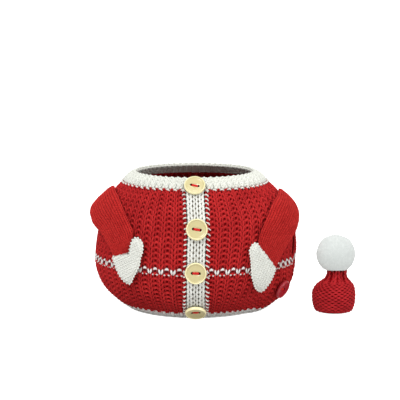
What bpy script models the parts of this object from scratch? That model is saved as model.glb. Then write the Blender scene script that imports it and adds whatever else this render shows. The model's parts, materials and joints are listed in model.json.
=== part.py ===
"""A knitted tea cosy in the form of a little buttoned jacket, with the bobble hat that goes with it.

The jacket stands on its hem as it hangs when worn, hollow, with a lens-shaped slit for a spout on its left
(-X), a slit for a handle on its right (+X) that is lapped and buttoned below, and its front to -Y. The hat
stands on its rim beside it. Every piece of cloth is one closed solid, a few tenths of a millimetre from what
it is sewn to. Sizes are in millimetres, and angles in degrees round the jacket, 0 at the front and
90 at the handle.
"""

import math
from collections import namedtuple

import bmesh
import bpy
import numpy as np
from mathutils import Matrix, Vector

MM = 0.001

# Driving sizes of the jacket.
HEM_RADIUS = 57.5
BELLY_RADIUS = 89.2
NECK_RADIUS = 52.0
COLLAR_BASE_HEIGHT = 108.6
JACKET_HEIGHT = 119.0
CLOTH = 3.6  # the body's cloth from the crest of a rib to its inner face
TRIM_CLOTH = 3.6  # collar and front band
SEWN = 0.3  # between edges that are sewn together
RIBS = 60  # knit ribs in a full round
RIB_RELIEF = 1.4
HEM_FOOT = 3.0  # width of the flat ring that the hem stands on

# Front band, buttons.
BAND_WIDTH = 15.6
BAND_PROUD = 0.9
BUTTON_DIAMETER = 18.0
BUTTON_THICKNESS = 3.4
CLOSURE_DIAMETER = 16.5
BUTTON_SIDES = 20
HOLE_SIDES = 10
HOLES_APART = 0.27  # sewing holes, as a share of the button's diameter
HOLE_RADIUS = 0.06
TOP_BUTTON_TIP = 9.0  # degrees that the top button tips forward off the collar
TOP_BUTTON_PROUD = 0.65  # which it needs to clear the collar's swell
CLOSURE_PROUD = -0.25  # it presses into the lap between two ribs
BUTTON_HEIGHTS = (111.6, 80.0, 45.0, 10.8)  # of the centres, from the neck down

# Openings at the sides.
SPOUT_ANGLE, SPOUT_FOOT, SPOUT_TOP, SPOUT_WIDTH = 270.0, 44.0, 99.0, 32.0
HANDLE_ANGLE, HANDLE_FOOT, HANDLE_TOP, HANDLE_WIDTH = 90.0, 40.0, 99.0, 20.0
LAP = 20.0  # how far the front laps over the back below the handle
LAP_ANGLE = 61.0  # the middle of the lap, drawn round to the front of the handle
LAP_LIFT = 2.1  # how far the front stands out over the lap, and the back is drawn in under it
LAP_FADE = (HANDLE_FOOT - 12.0, HANDLE_FOOT + 1.0)  # heights between which the lap runs out
LIFT_FADE = (HANDLE_FOOT - 2.0, HANDLE_FOOT + 12.0)
LAP_TURNS = ((6.0, 90.0), (LAP_ANGLE, HANDLE_ANGLE))  # the handle seam's angle at two heights
SLIT_BLUNTNESS = 0.7  # below 1, a slit's ends are rounder
CLOSURE_ANGLE, CLOSURE_HEIGHT = 56.5, 24.5

# Hat.
HAT_PLACE = (118.0, -30.0)
HAT_HEIGHT = 36.5
HAT_RIBS = 14
POMPOM_RADIUS = 17.5

Section = namedtuple("Section", "radius height")
JACKET_SECTIONS = (
    Section(HEM_RADIUS, 0),
    Section(66.0, 4.0),
    Section(80.6, 17.0),
    Section(87.3, 30.0),
    Section(BELLY_RADIUS, 40.0),
    Section(88.8, 51.0),
    Section(87.0, 69.0),
    Section(82.5, 86.0),
    Section(76.0, 97.0),
    Section(65.5, COLLAR_BASE_HEIGHT),
    Section(NECK_RADIUS, JACKET_HEIGHT),
)
HAT_OUTSIDE = (
    Section(15.6, 0),
    Section(17.6, 4.0),
    Section(18.8, 11.0),
    Section(18.6, 17.5),
    Section(16.4, 23.0),
    Section(12.6, 27.0),
    Section(10.0, 30.0),
    Section(9.2, 33.5),
    Section(9.6, HAT_HEIGHT),
)
HAT_INSIDE = (
    Section(12.8, 0),
    Section(14.8, 4.0),
    Section(16.0, 11.0),
    Section(15.6, 17.0),
    Section(12.4, 22.0),
    Section(6.5, 24.8),
)

RED = (0.50, 0.015, 0.02)
DEEP_RED = (0.36, 0.008, 0.012)
OFF_WHITE = (0.78, 0.79, 0.73)
CREAM = (0.80, 0.73, 0.42)


# ---------------------------------------------------------------- curves and helpers
def smooth_through(rows, steps=24):
    """Points of a Catmull-Rom curve through the rows, as an array."""
    known = np.array(rows, float)
    padded = np.vstack([2 * known[0] - known[1], known, 2 * known[-1] - known[-2]])
    found = []
    for a, b, c, d in zip(padded, padded[1:], padded[2:], padded[3:]):
        for t in np.linspace(0, 1, steps, endpoint=False):
            bend = (2 * a - 5 * b + 4 * c - d) * t**2 + (3 * b - a - 3 * c + d) * t**3
            found.append((2 * b + (c - a) * t + bend) / 2)
    return np.array([*found, known[-1]])


def ease(value, low, high):
    """0 below low, 1 above high, smooth between."""
    t = min(max((value - low) / (high - low), 0.0), 1.0)
    return t * t * (3 - 2 * t)


JACKET_CURVE = smooth_through(JACKET_SECTIONS)
ARC = np.r_[0, np.cumsum(np.hypot(*np.diff(JACKET_CURVE, axis=0).T))]


def arc_at(height):
    """Distance along the jacket's outline from the hem up to a height."""
    return float(np.interp(height, JACKET_CURVE[:, 1], ARC))


def outline(arc):
    """Radius and height at a distance along the outline, and the outward direction there."""
    radius, height = (np.interp(arc, ARC, JACKET_CURVE[:, i]) for i in (0, 1))
    before, after = max(arc - 1, 0), min(arc + 1, ARC[-1])
    across, rise = (np.diff(np.interp((before, after), ARC, JACKET_CURVE[:, i]))[0] for i in (0, 1))
    length = math.hypot(across, rise)
    return radius, height, rise / length, -across / length


def lean(height):
    """How far to the right the jacket's middle lies at a height, as it sits a little askew."""
    return float(np.interp(height, (0, 45, 80, JACKET_HEIGHT), (-1.4, -1.3, -0.4, -2.6)))


def unevenness(angle, height):
    """Slight slack in the hanging cloth, none at the hem or the neck."""
    around = math.radians(angle)
    body = ease(height, 0, 35) * (1 - ease(height, 80, JACKET_HEIGHT))
    return body * (0.5 * math.sin(3 * around + 0.6) + 0.35 * math.sin(7 * around + height / 14))


def on_jacket(angle, arc, proud=0.0):
    """A point on the jacket's outer face, or proud of it."""
    radius, height, out, up = outline(arc)
    radius += unevenness(angle, height)
    turn = math.radians(angle)
    reach = radius + proud * out
    return Vector((lean(height) + reach * math.sin(turn), -reach * math.cos(turn), height + proud * up))


def on_hem(angle, proud=0.0):
    """A point on the flat ring that the jacket stands on, at its outer edge or proud of it."""
    turn = math.radians(angle)
    reach = HEM_RADIUS + proud
    return Vector((lean(0) + reach * math.sin(turn), -reach * math.cos(turn), 0))


def facing(angle, arc):
    """The direction in which the cloth faces."""
    _, _, out, up = outline(arc)
    turn = math.radians(angle)
    return Vector((out * math.sin(turn), -out * math.cos(turn), up))


def upward(angle, arc):
    """The direction along the cloth, up the jacket."""
    _, _, out, up = outline(arc)
    turn = math.radians(angle)
    return Vector((-up * math.sin(turn), up * math.cos(turn), out))


def finish(name, mesh_data, colour, roughness=0.9):
    """A named object from vertices in millimetres and faces, closed and facing outwards."""
    vertices, faces = mesh_data
    mesh = bpy.data.meshes.new(name)
    mesh.from_pydata([tuple(MM * c for c in v) for v in vertices], [], faces)
    work = bmesh.new()
    work.from_mesh(mesh)
    bmesh.ops.triangulate(work, faces=work.faces)
    bmesh.ops.recalc_face_normals(work, faces=work.faces)
    work.to_mesh(mesh)
    work.free()
    mesh.shade_smooth()
    mesh.set_sharp_from_angle(angle=math.radians(50))
    piece = bpy.data.objects.new(name, mesh)
    bpy.context.collection.objects.link(piece)
    mesh.materials.append(finish_material(name, colour, roughness))
    return piece


def finish_material(name, colour, roughness):
    material = bpy.data.materials.new(name)
    material.use_nodes = True
    shader = material.node_tree.nodes["Principled BSDF"]
    shader.inputs["Base Color"].default_value = (*colour, 1)
    shader.inputs["Roughness"].default_value = roughness
    shader.inputs["Metallic"].default_value = 0
    return material


class Skin:
    """Vertices and faces of one closed solid as it is put together."""

    def __init__(self):
        self.vertices = []
        self.faces = []

    def add(self, point):
        self.vertices.append(tuple(point))
        return len(self.vertices) - 1

    def row(self, points):
        return [self.add(p) for p in points]

    def quads(self, low, high, closed=False):
        """Faces between two rows of equal length."""
        n = len(low)
        for i in range(n if closed else n - 1):
            j = (i + 1) % n
            self.faces.append((low[i], low[j], high[j], high[i]))

    def fan(self, row, tip):
        for i, a in enumerate(row):
            self.faces.append((a, row[(i + 1) % len(row)], tip))

    def geared(self, fine, coarse):
        """Faces between a fine row and a coarse one with a whole number of steps to each of its own."""
        ratio = (len(fine) - 1) // (len(coarse) - 1)
        for i in range(len(coarse) - 1):
            steps = fine[i * ratio : (i + 1) * ratio + 1]
            self.faces.append((coarse[i], coarse[i + 1], steps[ratio // 2 + 1], steps[ratio // 2]))
            for k in range(ratio // 2):
                self.faces.append((coarse[i], steps[k + 1], steps[k]))
            for k in range(ratio // 2 + 1, ratio):
                self.faces.append((coarse[i + 1], steps[k + 1], steps[k]))

    def data(self):
        return self.vertices, self.faces


# ---------------------------------------------------------------- the jacket's body
BODY_RIBS = RIBS - 2  # two are given up to the front band
RIB_STEPS = 3  # columns of points to a rib: its foot and the two edges of its crest
BODY_ROWS = 13
HANDLE_SEAM_ANGLE = 80.0  # of the rib where the handle's slit is made, before it is drawn aside
DRIFT_RIBS = 22  # over which that fades, behind the handle
PARTED_RIBS = 6  # over which a slit pushes the ribs aside
LIFT_RIBS = (2.0, 4.5)  # between which the lap settles back on the jacket
FOOT_RELIEF = 0.55  # the ribs' relief at the hem, as a share
BODY_TOP = arc_at(COLLAR_BASE_HEIGHT) - SEWN


def rib_height(step):
    """How far a column of points lies from the crest."""
    return -RIB_RELIEF if step % RIB_STEPS == 0 else 0.0


def front_edge(arc):
    """The angle of the body's front edge, beside the band."""
    return math.degrees(math.asin((BAND_WIDTH / 2 + SEWN) / outline(arc)[0]))


def opening_half(height, foot, top, width):
    """Half the width of a lens-shaped slit at a height."""
    if not foot < height < top:
        return 0.0
    return width / 2 * math.sin(math.pi * (height - foot) / (top - foot)) ** SLIT_BLUNTNESS


def slit_half(slit, height):
    """Half the width of a slit at a height in millimetres, less than nothing where its edges lap."""
    if slit == "spout":
        return opening_half(height, SPOUT_FOOT, SPOUT_TOP, SPOUT_WIDTH)
    lapped = 1 - ease(height, *LAP_FADE)
    return opening_half(height, HANDLE_FOOT, HANDLE_TOP, HANDLE_WIDTH) - LAP / 2 * lapped


def handle_drift(column, height):
    """How far, in degrees, the ribs lean towards the handle above and towards the lap below it."""
    turn = float(np.interp(height, *LAP_TURNS))
    if column <= HANDLE_COLUMN:
        share = column / HANDLE_COLUMN
    else:
        share = max(0.0, 1 - (column - HANDLE_COLUMN) / DRIFT_RIBS)
    return (turn - HANDLE_SEAM_ANGLE) * share


def body_point(column, row, side, depth=0.0):
    """A point of the body. Columns count ribs from the front band's right edge, rows count up."""
    arc = BODY_TOP * row / BODY_ROWS
    radius, height, _, _ = outline(arc)
    edge = front_edge(arc)
    angle = edge + (360 - 2 * edge) * column / BODY_RIBS + handle_drift(column, height)
    lift = 0.0
    for slit, at in (("spout", SPOUT_COLUMN), ("handle", HANDLE_COLUMN)):
        if side == 0:
            here = -1 if column < at else 1
        else:
            here = side
        shift = here * slit_half(slit, height) * (1 - ease(abs(column - at), 0, PARTED_RIBS))
        angle += math.degrees(shift / radius)
        if slit == "handle":
            over = 1 - ease(height, *LIFT_FADE)
            lift -= here * LAP_LIFT * over * (1 - ease(abs(column - at), *LIFT_RIBS))
    if row == 0:
        return on_hem(angle, lift - (HEM_FOOT if depth else 0))
    return on_jacket(angle, arc, lift - depth)


def column_nearest(angle):
    """The rib boundary nearest to an angle at the belly."""
    edge = front_edge(arc_at(40))
    return round((angle - edge) / (360 - 2 * edge) * BODY_RIBS)


SPOUT_COLUMN = column_nearest(SPOUT_ANGLE)
HANDLE_COLUMN = column_nearest(HANDLE_SEAM_ANGLE)


def is_open(column, row):
    """Whether the two sides of a slit part at this row."""
    height = outline(BODY_TOP * row / BODY_ROWS)[1]
    if column == SPOUT_COLUMN:
        return SPOUT_FOOT < height < SPOUT_TOP
    return height < HANDLE_TOP


def make_body():
    skin = Skin()
    known = {}

    def vertex(step, row, side, inner):
        """The vertex at a fine column, made once; both sides of a slit share it where the slit is closed."""
        column = step / RIB_STEPS
        split = step in (SPOUT_COLUMN * RIB_STEPS, HANDLE_COLUMN * RIB_STEPS)
        which = side if split and is_open(round(column), row) else 0
        key = (step, row, which, inner)
        if key not in known:
            fade = FOOT_RELIEF + (1 - FOOT_RELIEF) * ease(row, 0, 2)
            depth = CLOTH if inner else -rib_height(step) * fade
            if row == 0:
                depth = CLOTH if inner else 0.0
            known[key] = skin.add(body_point(column, row, which, depth))
        return known[key]

    for rib in range(BODY_RIBS):
        first = rib * RIB_STEPS
        last = first + RIB_STEPS

        def line(row, inner):
            """The points of this rib along a row, the first and last on its own side of any slit."""
            steps = (first, last) if inner else range(first, last + 1)
            return [vertex(s, row, 1 if s == first else -1, inner) for s in steps]

        for row in range(BODY_ROWS):
            skin.quads(line(row, False), line(row + 1, False))
            skin.quads(line(row + 1, True), line(row, True))
        skin.geared(line(0, False), line(0, True))
        skin.geared(line(BODY_ROWS, False)[::-1], line(BODY_ROWS, True)[::-1])

    edges = [(0, 1), (BODY_RIBS * RIB_STEPS, -1)]
    edges += [(c * RIB_STEPS, side) for c in (SPOUT_COLUMN, HANDLE_COLUMN) for side in (-1, 1)]
    for step, side in edges:
        for row in range(BODY_ROWS):
            ends = (row, row + 1)
            if 0 < step < BODY_RIBS * RIB_STEPS and not any(is_open(step // RIB_STEPS, r) for r in ends):
                continue
            out_low, out_high, in_high, in_low = (
                vertex(step, r, side, inner) for r, inner in ((row, 0), (row + 1, 0), (row + 1, 1), (row, 1))
            )
            face = (out_low, out_high, in_high, in_low)
            skin.faces.append(face if side == 1 else face[::-1])
    return finish("jacket_body", skin.data(), RED)


# ---------------------------------------------------------------- collar and front band
def make_collar():
    """A ribbed band round the neck, a closed ring that follows the jacket's slope."""
    rows = 4
    foot, top = arc_at(COLLAR_BASE_HEIGHT), float(ARC[-1])
    swell = (0.0, 0.5, 0.7, 0.5, 0.0)
    skin = Skin()
    outer, inner = [], []
    for row in range(rows + 1):
        arc = foot + (top - foot) * row / rows
        fade = 0.6 if row in (0, rows) else 1.0
        crest = BAND_PROUD + swell[row]
        proud = (crest - RIB_RELIEF * fade, crest)
        outer.append(skin.row(on_jacket(180 * s / RIBS, arc, proud[s % 2]) for s in range(2 * RIBS)))
        if row % 2 == 0:
            back = BAND_PROUD - TRIM_CLOTH
            inner.append(skin.row(on_jacket(360 * s / RIBS, arc, back) for s in range(RIBS)))
    for low, high in zip(outer, outer[1:]):
        skin.quads(low, high, closed=True)
    for low, high in zip(inner, inner[1:]):
        skin.quads(high, low, closed=True)
    for fine, coarse in ((outer[0], inner[0]), (outer[-1][::-1], inner[-1][::-1])):
        if fine is outer[0]:
            skin.geared([*fine, fine[0]], [*coarse, coarse[0]])
        else:
            skin.geared([fine[-1], *fine], [coarse[-1], *coarse])
    return finish("collar", skin.data(), OFF_WHITE)


def make_band():
    """The white band that fills the front from hem to collar, thin at its edges."""
    rows = BODY_ROWS
    across = (-1, -0.82, -0.3, 0.3, 0.82, 1)
    dip = (0.9, 0.1, 0, 0, 0.1, 0.9)
    skin = Skin()
    outer, inner = [], []
    for row in range(rows + 1):
        arc = BODY_TOP * row / rows
        radius = outline(arc)[0]
        angles = [math.degrees(math.asin(BAND_WIDTH / 2 * w / radius)) for w in across]
        if row == 0:
            outer.append(skin.row(on_hem(a, BAND_PROUD - d) for a, d in zip(angles, dip)))
            inner.append(skin.row(on_hem(a, -HEM_FOOT) for a in angles))
        else:
            outer.append(skin.row(on_jacket(a, arc, BAND_PROUD - d) for a, d in zip(angles, dip)))
            inner.append(skin.row(on_jacket(a, arc, BAND_PROUD - TRIM_CLOTH) for a in angles))
    for low, high in zip(outer, outer[1:]):
        skin.quads(low, high)
    for low, high in zip(inner, inner[1:]):
        skin.quads(high, low)
    skin.quads(inner[0], outer[0])
    skin.quads(outer[-1], inner[-1])
    for end in (0, -1):
        skin.quads([r[end] for r in outer], [r[end] for r in inner])
    return finish("placket", skin.data(), OFF_WHITE)


# ---------------------------------------------------------------- buttons
def make_button(name, diameter, thickness, place, normal, up, colour):
    """A turned button with a raised rim, a dished middle and sewing holes, facing along normal."""
    radius = diameter / 2
    profile = (
        (0.0, thickness * 0.52),
        (radius * 0.42, thickness * 0.54),
        (radius * 0.68, thickness * 0.66),
        (radius * 0.78, thickness * 0.97),
        (radius * 0.88, thickness),
        (radius * 0.97, thickness * 0.86),
        (radius, thickness * 0.55),
        (radius * 0.93, thickness * 0.18),
        (radius * 0.76, 0.0),
        (0.0, 0.0),
    )
    work = bmesh.new()
    rim = [work.verts.new((r * MM, 0, z * MM)) for r, z in profile]
    edges = [work.edges.new(pair) for pair in zip(rim, rim[1:])]
    bmesh.ops.spin(
        work,
        geom=[*rim, *edges],
        cent=(0, 0, 0),
        axis=(0, 0, 1),
        angle=2 * math.pi,
        steps=BUTTON_SIDES,
        use_merge=True,
    )
    bmesh.ops.remove_doubles(work, verts=work.verts, dist=1e-6)
    bmesh.ops.recalc_face_normals(work, faces=work.faces)
    mesh = bpy.data.meshes.new(name)
    work.to_mesh(mesh)
    work.free()
    piece = bpy.data.objects.new(name, mesh)
    bpy.context.collection.objects.link(piece)
    mesh.materials.append(finish_material(name, colour, 0.35))
    side = up.cross(normal).normalized()
    true_up = normal.cross(side)
    turn = Matrix((side, true_up, normal)).transposed().to_4x4()
    piece.matrix_world = Matrix.Translation(place * MM) @ turn
    for side in (-0.5, 0.5):
        cut_hole(piece, side * diameter * HOLES_APART, diameter * HOLE_RADIUS, thickness)
    mesh.shade_smooth()
    mesh.set_sharp_from_angle(angle=math.radians(35))
    return piece


def cut_hole(piece, offset, radius, thickness):
    """Bores one sewing hole through a button with a hidden cutter."""
    name = f"{piece.name}_hole_{'right' if offset > 0 else 'left'}"
    work = bmesh.new()
    wide, deep = radius * MM, thickness * 2 * MM
    bmesh.ops.create_cone(work, cap_ends=True, segments=HOLE_SIDES, radius1=wide, radius2=wide, depth=deep)
    mesh = bpy.data.meshes.new(name)
    work.to_mesh(mesh)
    work.free()
    cutter = bpy.data.objects.new(name, mesh)
    bpy.context.collection.objects.link(cutter)
    cutter.matrix_world = piece.matrix_world @ Matrix.Translation((offset * MM, 0, thickness / 2 * MM))
    cutter.hide_render = True
    cutter.display_type = "WIRE"
    cut = piece.modifiers.new(name, "BOOLEAN")
    cut.operation = "DIFFERENCE"
    cut.object = cutter


def make_front_buttons():
    """Four buttons down the band; the top one sits where the band meets the collar."""
    for i, height in enumerate(BUTTON_HEIGHTS, 1):
        arc = arc_at(height)
        normal, up = facing(0, arc), upward(0, arc)
        proud = BAND_PROUD + SEWN
        if i == 1:
            tip = Matrix.Rotation(math.radians(TOP_BUTTON_TIP), 3, "X")
            normal, up = tip @ normal, tip @ up
            proud += TOP_BUTTON_PROUD
        place = on_jacket(0, arc, proud)
        make_button(f"button_{i}", BUTTON_DIAMETER, BUTTON_THICKNESS, place, normal, up, CREAM)


def make_closure_button():
    """The red button that closes the lap below the handle."""
    angle, arc = CLOSURE_ANGLE, arc_at(CLOSURE_HEIGHT)
    make_button(
        "closure_button",
        CLOSURE_DIAMETER,
        BUTTON_THICKNESS,
        on_jacket(angle, arc, LAP_LIFT + SEWN + CLOSURE_PROUD),
        facing(angle, arc),
        upward(angle, arc),
        DEEP_RED,
    )


# ---------------------------------------------------------------- sleeves and mittens
# A sleeve is a tube pressed flat: a row for each line across it, from its seam at the side to its cuff, with
# the angle and height of its inner and outer edges, how far its outer edge stands off, and its thickness.
Line = namedtuple("Line", "inner_angle inner_height outer_angle outer_height stand_off thickness")
SLEEVE_LINES = {
    "left": (
        Line(-83.0, 103.5, -87.5, 86.0, 0.6, 4.6),
        Line(-78.0, 105.0, -83.5, 82.5, 6.0, 5.6),
        Line(-58.6, 99.2, -73.0, 74.0, 4.4, 5.0),
        Line(-47.3, 90.8, -63.5, 68.9, 1.6, 4.6),
        Line(-40.0, 81.3, -55.6, 61.1, 0.4, 4.5),
        Line(-36.4, 73.2, -52.4, 57.2, 0.2, 4.5),
        Line(-39.4, 61.6, -49.7, 54.8, 0.0, 4.2),
    ),
    "right": (
        Line(83.0, 102.0, 91.5, 85.5, 0.2, 4.4),
        Line(78.5, 102.4, 88.5, 83.8, 2.4, 5.0),
        Line(56.5, 96.3, 74.5, 74.0, 2.0, 5.0),
        Line(45.2, 87.4, 64.0, 64.8, 0.8, 4.6),
        Line(38.0, 77.6, 54.8, 56.4, 0.2, 4.5),
        Line(33.2, 68.2, 47.0, 48.4, 0.0, 4.2),
    ),
}
LIES_OFF = 0.5  # between the body's ribs and what lies on them
Corner = namedtuple("Corner", "angle height")
# Outlines of the mittens, once round from the cuff's outer end by the fingers to the thumb.
MITTEN_CORNERS = {
    "left": (
        Corner(-49.6, 53.2),
        Corner(-47.4, 45.0),
        Corner(-43.8, 35.9),
        Corner(-38.6, 32.2),
        Corner(-34.9, 36.8),
        Corner(-31.0, 46.8),
        Corner(-29.2, 55.0),
        Corner(-28.8, 61.0),
        Corner(-30.0, 67.2),
        Corner(-32.8, 70.6),
        Corner(-35.4, 69.2),
        Corner(-37.6, 64.6),
        Corner(-39.0, 59.8),
        Corner(-44.0, 56.6),
    ),
    "right": (
        Corner(46.8, 46.0),
        Corner(45.6, 39.5),
        Corner(43.0, 31.9),
        Corner(39.3, 27.2),
        Corner(33.7, 30.5),
        Corner(30.0, 39.2),
        Corner(28.9, 48.0),
        Corner(28.4, 56.6),
        Corner(28.8, 63.0),
        Corner(31.0, 66.8),
        Corner(33.4, 65.8),
        Corner(37.5, 59.9),
        Corner(42.5, 52.7),
    ),
}
MITTEN_THICKNESS = 5.2


def on_body(angle, height, proud):
    return on_jacket(angle, arc_at(height), proud)


def make_sleeve(side):
    """A flattened tube swept through its lines across, with a rounded seam and cuff end."""
    around = 16
    lines = smooth_through(SLEEVE_LINES[side], steps=2)
    skin = Skin()
    rings = []
    for inner_angle, inner_height, outer_angle, outer_height, stand_off, thickness in lines:
        ring = []
        for k in range(around):
            turn = 2 * math.pi * (k + 0.5) / around
            across = math.copysign(abs(math.cos(turn)) ** 0.7, math.cos(turn))
            over = math.copysign(abs(math.sin(turn)) ** 0.75, math.sin(turn))
            share = (1 + across) / 2
            angle = inner_angle + (outer_angle - inner_angle) * share
            height = inner_height + (outer_height - inner_height) * share
            middle = LIES_OFF + thickness / 2 + stand_off * share**1.5
            ring.append(on_body(angle, height, middle + over * thickness / 2))
        rings.append(ring)
    rows = [skin.row(ring) for ring in rings]
    for low, high in zip(rows, rows[1:]):
        skin.quads(low, high, closed=True)
    half = around // 2
    for row, flip in ((rows[0], False), (rows[-1], True)):
        for k in range(half - 1):
            face = (row[k], row[k + 1], row[around - 2 - k], row[around - 1 - k])
            skin.faces.append(face[::-1] if flip else face)
    return finish(f"sleeve_{side}", skin.data(), RED)


def make_mitten(side):
    """A flat mitten with its thumb, a pillow on its outline that lies on the body."""
    corners = np.array(MITTEN_CORNERS[side])
    closed = np.vstack([corners, corners[:1]])
    edge = smooth_through(closed, steps=2)[:-1]
    middle = edge.mean(axis=0)
    skin = Skin()
    rings = []
    shape = ((1.0, 0.5), (0.97, 0.78), (0.86, 0.96), (0.5, 1.0))
    for scale, rise in (*shape, *((s, 1 - h) for s, h in shape[:0:-1])):
        ring = [middle + (p - middle) * scale for p in edge]
        rings.append(skin.row(on_body(a, h, LIES_OFF + MITTEN_THICKNESS * rise) for a, h in ring))
    top = rings[3]
    bottom = rings[4]
    for low, high in ((rings[0], rings[1]), (rings[1], rings[2]), (rings[2], rings[3])):
        skin.quads(low, high, closed=True)
    for low, high in ((rings[4], rings[5]), (rings[5], rings[6]), (rings[6], rings[0])):
        skin.quads(low, high, closed=True)
    skin.fan(top, skin.add(on_body(*middle, LIES_OFF + MITTEN_THICKNESS)))
    skin.fan(bottom[::-1], skin.add(on_body(*middle, LIES_OFF)))
    return finish(f"mitten_{side}", skin.data(), OFF_WHITE)


# ---------------------------------------------------------------- hat and pompom
def hat_sway(height):
    """The hat's crown leans a little to the right of its rim."""
    return 2.4 * ease(height, 16, 32)


def hat_ring(radius, height, columns, relief=0.0):
    cx, cy = HAT_PLACE
    points = []
    for k in range(columns):
        turn = 2 * math.pi * k / columns
        reach = radius - (relief if k % 3 == 0 else 0)
        points.append((cx + hat_sway(height) + reach * math.sin(turn), cy - reach * math.cos(turn), height))
    return points


def make_hat():
    """A small round cap, drawn in to a ribbed neck at its top and open at its rim."""
    skin = Skin()
    outside = smooth_through(HAT_OUTSIDE, steps=2)
    inside = smooth_through(HAT_INSIDE, steps=1)
    outer = [skin.row(hat_ring(r, z, HAT_RIBS * 3, 1.1 * ease(z, 20, 30))) for r, z in outside]
    inner = [skin.row(hat_ring(r, z, HAT_RIBS)) for r, z in inside]
    for low, high in zip(outer, outer[1:]):
        skin.quads(low, high, closed=True)
    for low, high in zip(inner, inner[1:]):
        skin.quads(high, low, closed=True)
    skin.geared([*outer[0], outer[0][0]], [*inner[0], inner[0][0]])
    cx, cy = HAT_PLACE
    top, roof = outside[-1][1], inside[-1][1]
    skin.fan(outer[-1], skin.add((cx + hat_sway(top), cy, top)))
    skin.fan(inner[-1][::-1], skin.add((cx + hat_sway(roof), cy, roof + 0.6)))
    return finish("hat", skin.data(), RED)


def make_pompom():
    """A ball of blunt locks that stand apart but for their roots, flat where it is tied to the hat."""
    cuts, groove = 3, 0.35
    seed = np.random.default_rng(7)
    core = POMPOM_RADIUS - 4.0
    work = bmesh.new()
    bmesh.ops.create_cube(work, size=2)
    bmesh.ops.subdivide_edges(work, edges=work.edges, cuts=cuts, use_grid_fill=True)
    for v in work.verts:
        v.co = Vector(math.tan(c * math.pi / 4) for c in v.co).normalized() * core
        v.co = (v.co + Vector(seed.uniform(-0.7, 0.7, 3))).normalized() * core
    work.normal_update()
    for face in [f for f in work.faces if f.normal.z > -0.8]:
        bmesh.ops.inset_individual(work, faces=[face], thickness=groove)
        tip = bmesh.ops.extrude_discrete_faces(work, faces=[face])["faces"][0]
        reach = POMPOM_RADIUS - 0.6 + seed.uniform(-0.3, 0.3)
        middle = tip.calc_center_median()
        for v in tip.verts:
            spread = v.co - middle
            v.co = (middle.normalized() * reach) + spread * (reach / core) * 0.92
        crown = bmesh.ops.poke(work, faces=[tip])["verts"][0]
        crown.co = crown.co.normalized() * (reach + 0.7)
    foot = HAT_HEIGHT + SEWN
    centre = Vector((HAT_PLACE[0] + 1.4, HAT_PLACE[1], foot + core * 0.93))
    vertices = []
    for v in work.verts:
        x, y, z = v.co + centre
        vertices.append((x, y, max(z, foot)))
    faces = [[v.index for v in f.verts] for f in work.faces]
    work.free()
    return finish("pompom", (vertices, faces), OFF_WHITE)


# ---------------------------------------------------------------- the whole set
def stand_on_origin():
    """Moves the set so that the origin lies under the middle of its box."""
    bpy.context.view_layer.update()
    pieces = [o for o in bpy.data.objects if o.type == "MESH" and not o.hide_render]
    corners = np.array([o.matrix_world @ v.co for o in pieces for v in o.data.vertices])
    middle = (corners.min(axis=0) + corners.max(axis=0)) / 2
    shift = Matrix.Translation((-middle[0], -middle[1], 0))
    for thing in list(bpy.data.objects):
        thing.matrix_world = shift @ thing.matrix_world
    print("jacket axis at", -middle[0], -middle[1])


def main():
    for thing in list(bpy.data.objects):
        bpy.data.objects.remove(thing)
    make_body()
    make_collar()
    make_band()
    make_front_buttons()
    make_closure_button()
    for side in ("left", "right"):
        make_sleeve(side)
        make_mitten(side)
    make_hat()
    make_pompom()
    stand_on_origin()


main()
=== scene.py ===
# %% [markdown]
# # A knitted jacket for a teapot, and its bobble hat
# This lesson dresses a plain solid model of a tea cosy in real knitting. The cosy is a little ribbed red
# jacket with a white collar, a white button band, sleeves with mittens and four cream buttons, and a
# small hat with a pompom stands beside it. A bump pattern can fake knitting from afar, but the holes, the
# rows of white and the ragged edges of wool only look right when each stitch is a piece of yarn. So one
# stitch is made from listed points, and Geometry Nodes knit it over every cloth.

import json
import math

import bmesh
import bpy
import numpy as np
from mathutils import Matrix, Vector

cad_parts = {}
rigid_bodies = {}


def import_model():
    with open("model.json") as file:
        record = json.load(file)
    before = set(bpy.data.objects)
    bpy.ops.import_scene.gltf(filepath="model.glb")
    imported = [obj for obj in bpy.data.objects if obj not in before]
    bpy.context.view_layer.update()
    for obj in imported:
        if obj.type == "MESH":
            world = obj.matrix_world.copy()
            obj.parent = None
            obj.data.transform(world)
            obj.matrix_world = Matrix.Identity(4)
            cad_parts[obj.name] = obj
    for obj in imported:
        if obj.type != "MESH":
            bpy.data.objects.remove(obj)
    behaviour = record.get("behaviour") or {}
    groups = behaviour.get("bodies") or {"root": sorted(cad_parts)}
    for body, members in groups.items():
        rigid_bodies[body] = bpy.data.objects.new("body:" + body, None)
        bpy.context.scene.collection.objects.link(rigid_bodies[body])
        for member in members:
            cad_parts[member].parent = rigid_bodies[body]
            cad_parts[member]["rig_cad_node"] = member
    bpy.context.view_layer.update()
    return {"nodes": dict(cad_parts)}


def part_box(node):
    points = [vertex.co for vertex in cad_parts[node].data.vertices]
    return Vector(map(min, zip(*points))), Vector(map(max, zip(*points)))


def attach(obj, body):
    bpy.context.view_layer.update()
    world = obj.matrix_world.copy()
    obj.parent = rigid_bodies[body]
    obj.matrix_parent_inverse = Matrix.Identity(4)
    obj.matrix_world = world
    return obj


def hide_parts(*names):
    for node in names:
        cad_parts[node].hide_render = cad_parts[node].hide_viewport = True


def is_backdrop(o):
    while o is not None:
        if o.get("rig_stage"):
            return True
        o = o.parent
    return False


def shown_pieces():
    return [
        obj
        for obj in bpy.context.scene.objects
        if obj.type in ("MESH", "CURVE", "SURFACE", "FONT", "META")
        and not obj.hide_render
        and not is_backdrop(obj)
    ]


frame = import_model()
print("solid pieces:", ", ".join(sorted(frame["nodes"])))

# %% [markdown]
# ## Measures
# The maker works in millimetres, and Blender in metres. The set was moved so that its middle is the
# origin, so the jacket's own middle line has to be found again: the hat's middle stands a known way off
# it.

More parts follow.
